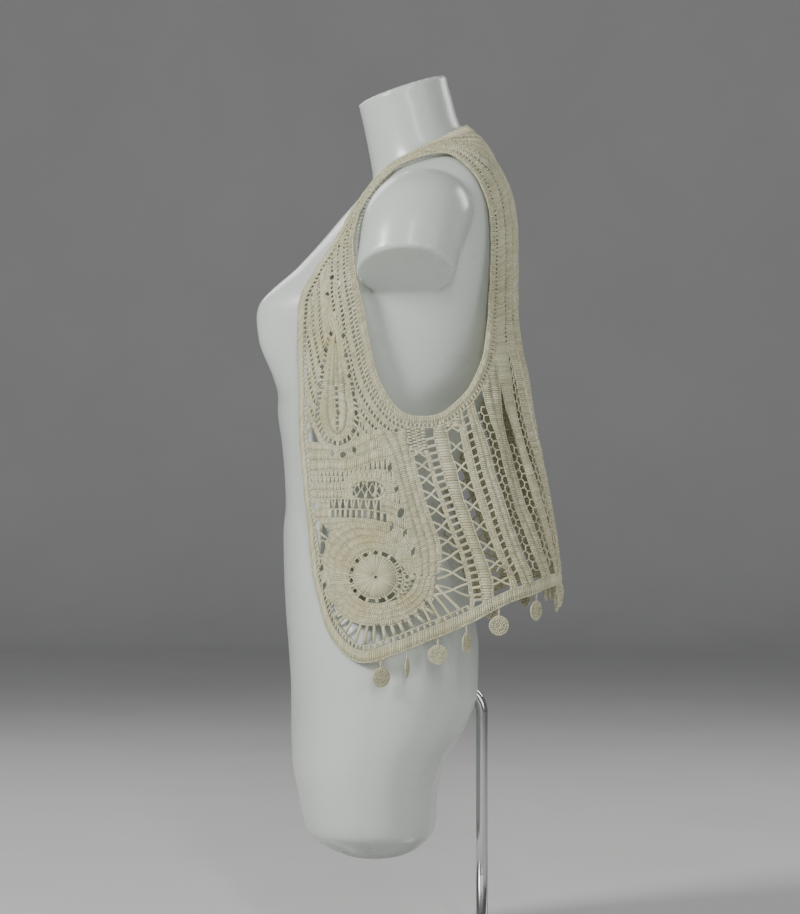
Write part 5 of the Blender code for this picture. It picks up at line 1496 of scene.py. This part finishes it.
def shell_material():
    """Glossy moulded plastic or lacquered plaster, off-white with a green cast."""
    mat, nodes, links, shader = nodes_of("shell")
    casts = [(0.3, (0.565, 0.610, 0.565)), (0.7, (0.615, 0.650, 0.610))]
    links.new(tint(nodes, links, casts, noise(nodes, links, 5, 4)), shader.inputs["Base Color"])
    shades = [(0.3, (0.24,) * 3), (0.7, (0.36,) * 3)]
    links.new(tint(nodes, links, shades, noise(nodes, links, 22, 4)), shader.inputs["Roughness"])
    ripple = bump(nodes, links, noise(nodes, links, 30, 2), 0.05, 2.0 * MM)
    links.new(ripple.outputs["Normal"], shader.inputs["Normal"])
    values(shader, Coat_Weight=0.25, Coat_Roughness=0.18)
    return mat


def metal_material(name, colour, rough):
    mat, nodes, links, shader = nodes_of(name)
    casts = [(0.35, tuple(0.97 * c for c in colour)), (0.65, colour)]
    links.new(tint(nodes, links, casts, noise(nodes, links, 40, 4)), shader.inputs["Base Color"])
    shades = [(0.3, (rough * 0.93,) * 3), (0.7, (rough * 1.08,) * 3)]
    links.new(tint(nodes, links, shades, noise(nodes, links, 90, 5)), shader.inputs["Roughness"])
    values(shader, Metallic=1.0)
    return mat


def area_light(name, place, look, size, power, tall=None):
    data = bpy.data.lights.new(name, "AREA")
    data.shape, data.energy = "RECTANGLE" if tall else "DISK", power
    data.size, data.size_y = size, tall or size
    obj = put(name, data)
    obj.location = place
    obj.rotation_euler = (Vector(look) - Vector(place)).to_track_quat("-Z", "Y").to_euler()


def studio():
    """A pale floor that turns up into a backdrop behind the far side, soft lights and the camera."""
    floor, nodes, links, shader = nodes_of("floor")
    casts = [(0.3, (0.60, 0.60, 0.59)), (0.7, (0.63, 0.63, 0.62))]
    links.new(tint(nodes, links, casts, noise(nodes, links, 3, 3)), shader.inputs["Base Color"])
    values(shader, Roughness=0.9)
    far, bend = -5.6, 1.6
    curve = [(far - bend * math.sin(a), bend - bend * math.cos(a)) for a in np.linspace(0.1, math.pi / 2, 14)]
    profile = [(9.0, 0.0), (far, 0.0), *curve, (far - bend, 6.0)]
    points = [(x, y, z - 0.0002) for x, z in profile for y in (-9, 9)]
    faces = [(2 * i, 2 * i + 1, 2 * i + 3, 2 * i + 2) for i in range(len(profile) - 1)]
    stage = mesh_object("studio_floor", points, faces, floor)
    stage.data.shade_smooth()
    world = bpy.data.worlds.new("studio")
    world.use_nodes = True
    values(world.node_tree.nodes["Background"], Color=(0.95, 0.98, 1.0, 1), Strength=0.16)
    bpy.context.scene.world = world
    middle = (0, 0, 0.55)
    area_light("key", (1.9, -2.6, 2.3), middle, 1.1, 120)
    area_light("fill", (2.2, 2.2, 1.2), middle, 1.6, 16)
    area_light("strip", (2.7, 0.30, 1.75), middle, 0.09, 24, tall=2.0)
    area_light("rim", (-2.0, -1.2, 2.2), middle, 1.4, 16)
    area_light("rim_back", (-1.6, 2.0, 1.9), middle, 1.2, 20)
    camera = bpy.data.cameras.new("camera")
    camera.lens, camera.sensor_width = 128.9, 36
    eye = put("camera", camera)
    eye.location, eye.rotation_euler = (EYE, 0, EYE_UP), (math.pi / 2, 0, math.pi / 2)
    bpy.context.scene.camera = eye


def main():
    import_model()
    yarn, shell = yarn_material(), shell_material()
    chrome = metal_material("chrome", (0.60, 0.61, 0.60), 0.12)
    plate = metal_material("plate", (0.55, 0.56, 0.55), 0.32)

    form = torso(shell)
    b = bmesh.new()
    b.from_mesh(form.data)
    tree = BVHTree.FromBMesh(b)
    b.free()
    cloth = Cloth(tree)
    edge, band, loops, marks = outlines(cloth)

    made = {}
    for name, work in (
        ("front_panel", front_lace(cloth, loops["front"], edge, band, marks)),
        ("side_panel", side_lace(cloth, loops["side"], edge, marks)),
        ("back_panel", back_lace(cloth, loops["back"], edge, band, marks)),
        ("armhole_band", armhole_lace(cloth, band)),
        ("edge_band", edge_lace(cloth, edge)),
    ):
        for (side, part), obj in both_sides(cloth, "lace_" + name, work, yarn).items():
            made[name, side, part] = obj
    for (name, side, part), obj in made.items():
        if not part:
            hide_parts(f"{name}_{side}")
    discs = disc_pieces(cloth, edge, yarn)
    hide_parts("dress_form")
    rod, base = stand_rod(chrome), round_base(plate)
    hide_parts("stand_rod")
    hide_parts("stand_base")
    studio()

    for obj in [*made.values(), *discs, form, rod, base]:
        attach(obj, "root")
    for (name, side, part), obj in made.items():
        if name in SHEETS and not part:
            size, area, rests = SHEETS[name]
            rests = rests or [f"lace_front_panel_{side}", f"lace_back_panel_{side}"]
            hems = [made[k] for k in made if k[1] == side and k[0] in ("armhole_band", "edge_band")]
            hems = hems if name == "back_panel" else []
            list(hems)
            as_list(rests)


# Cut of each panel, width and length in metres, its area, and what it rests on
SHEETS = {
    "front_panel": ((0.200, 0.500), 0.0449, ["torso_form"]),
    "side_panel": ((0.085, 0.235), 0.01264, None),
    "back_panel": ((0.215, 0.500), 0.0799, ["torso_form"]),
}

main()
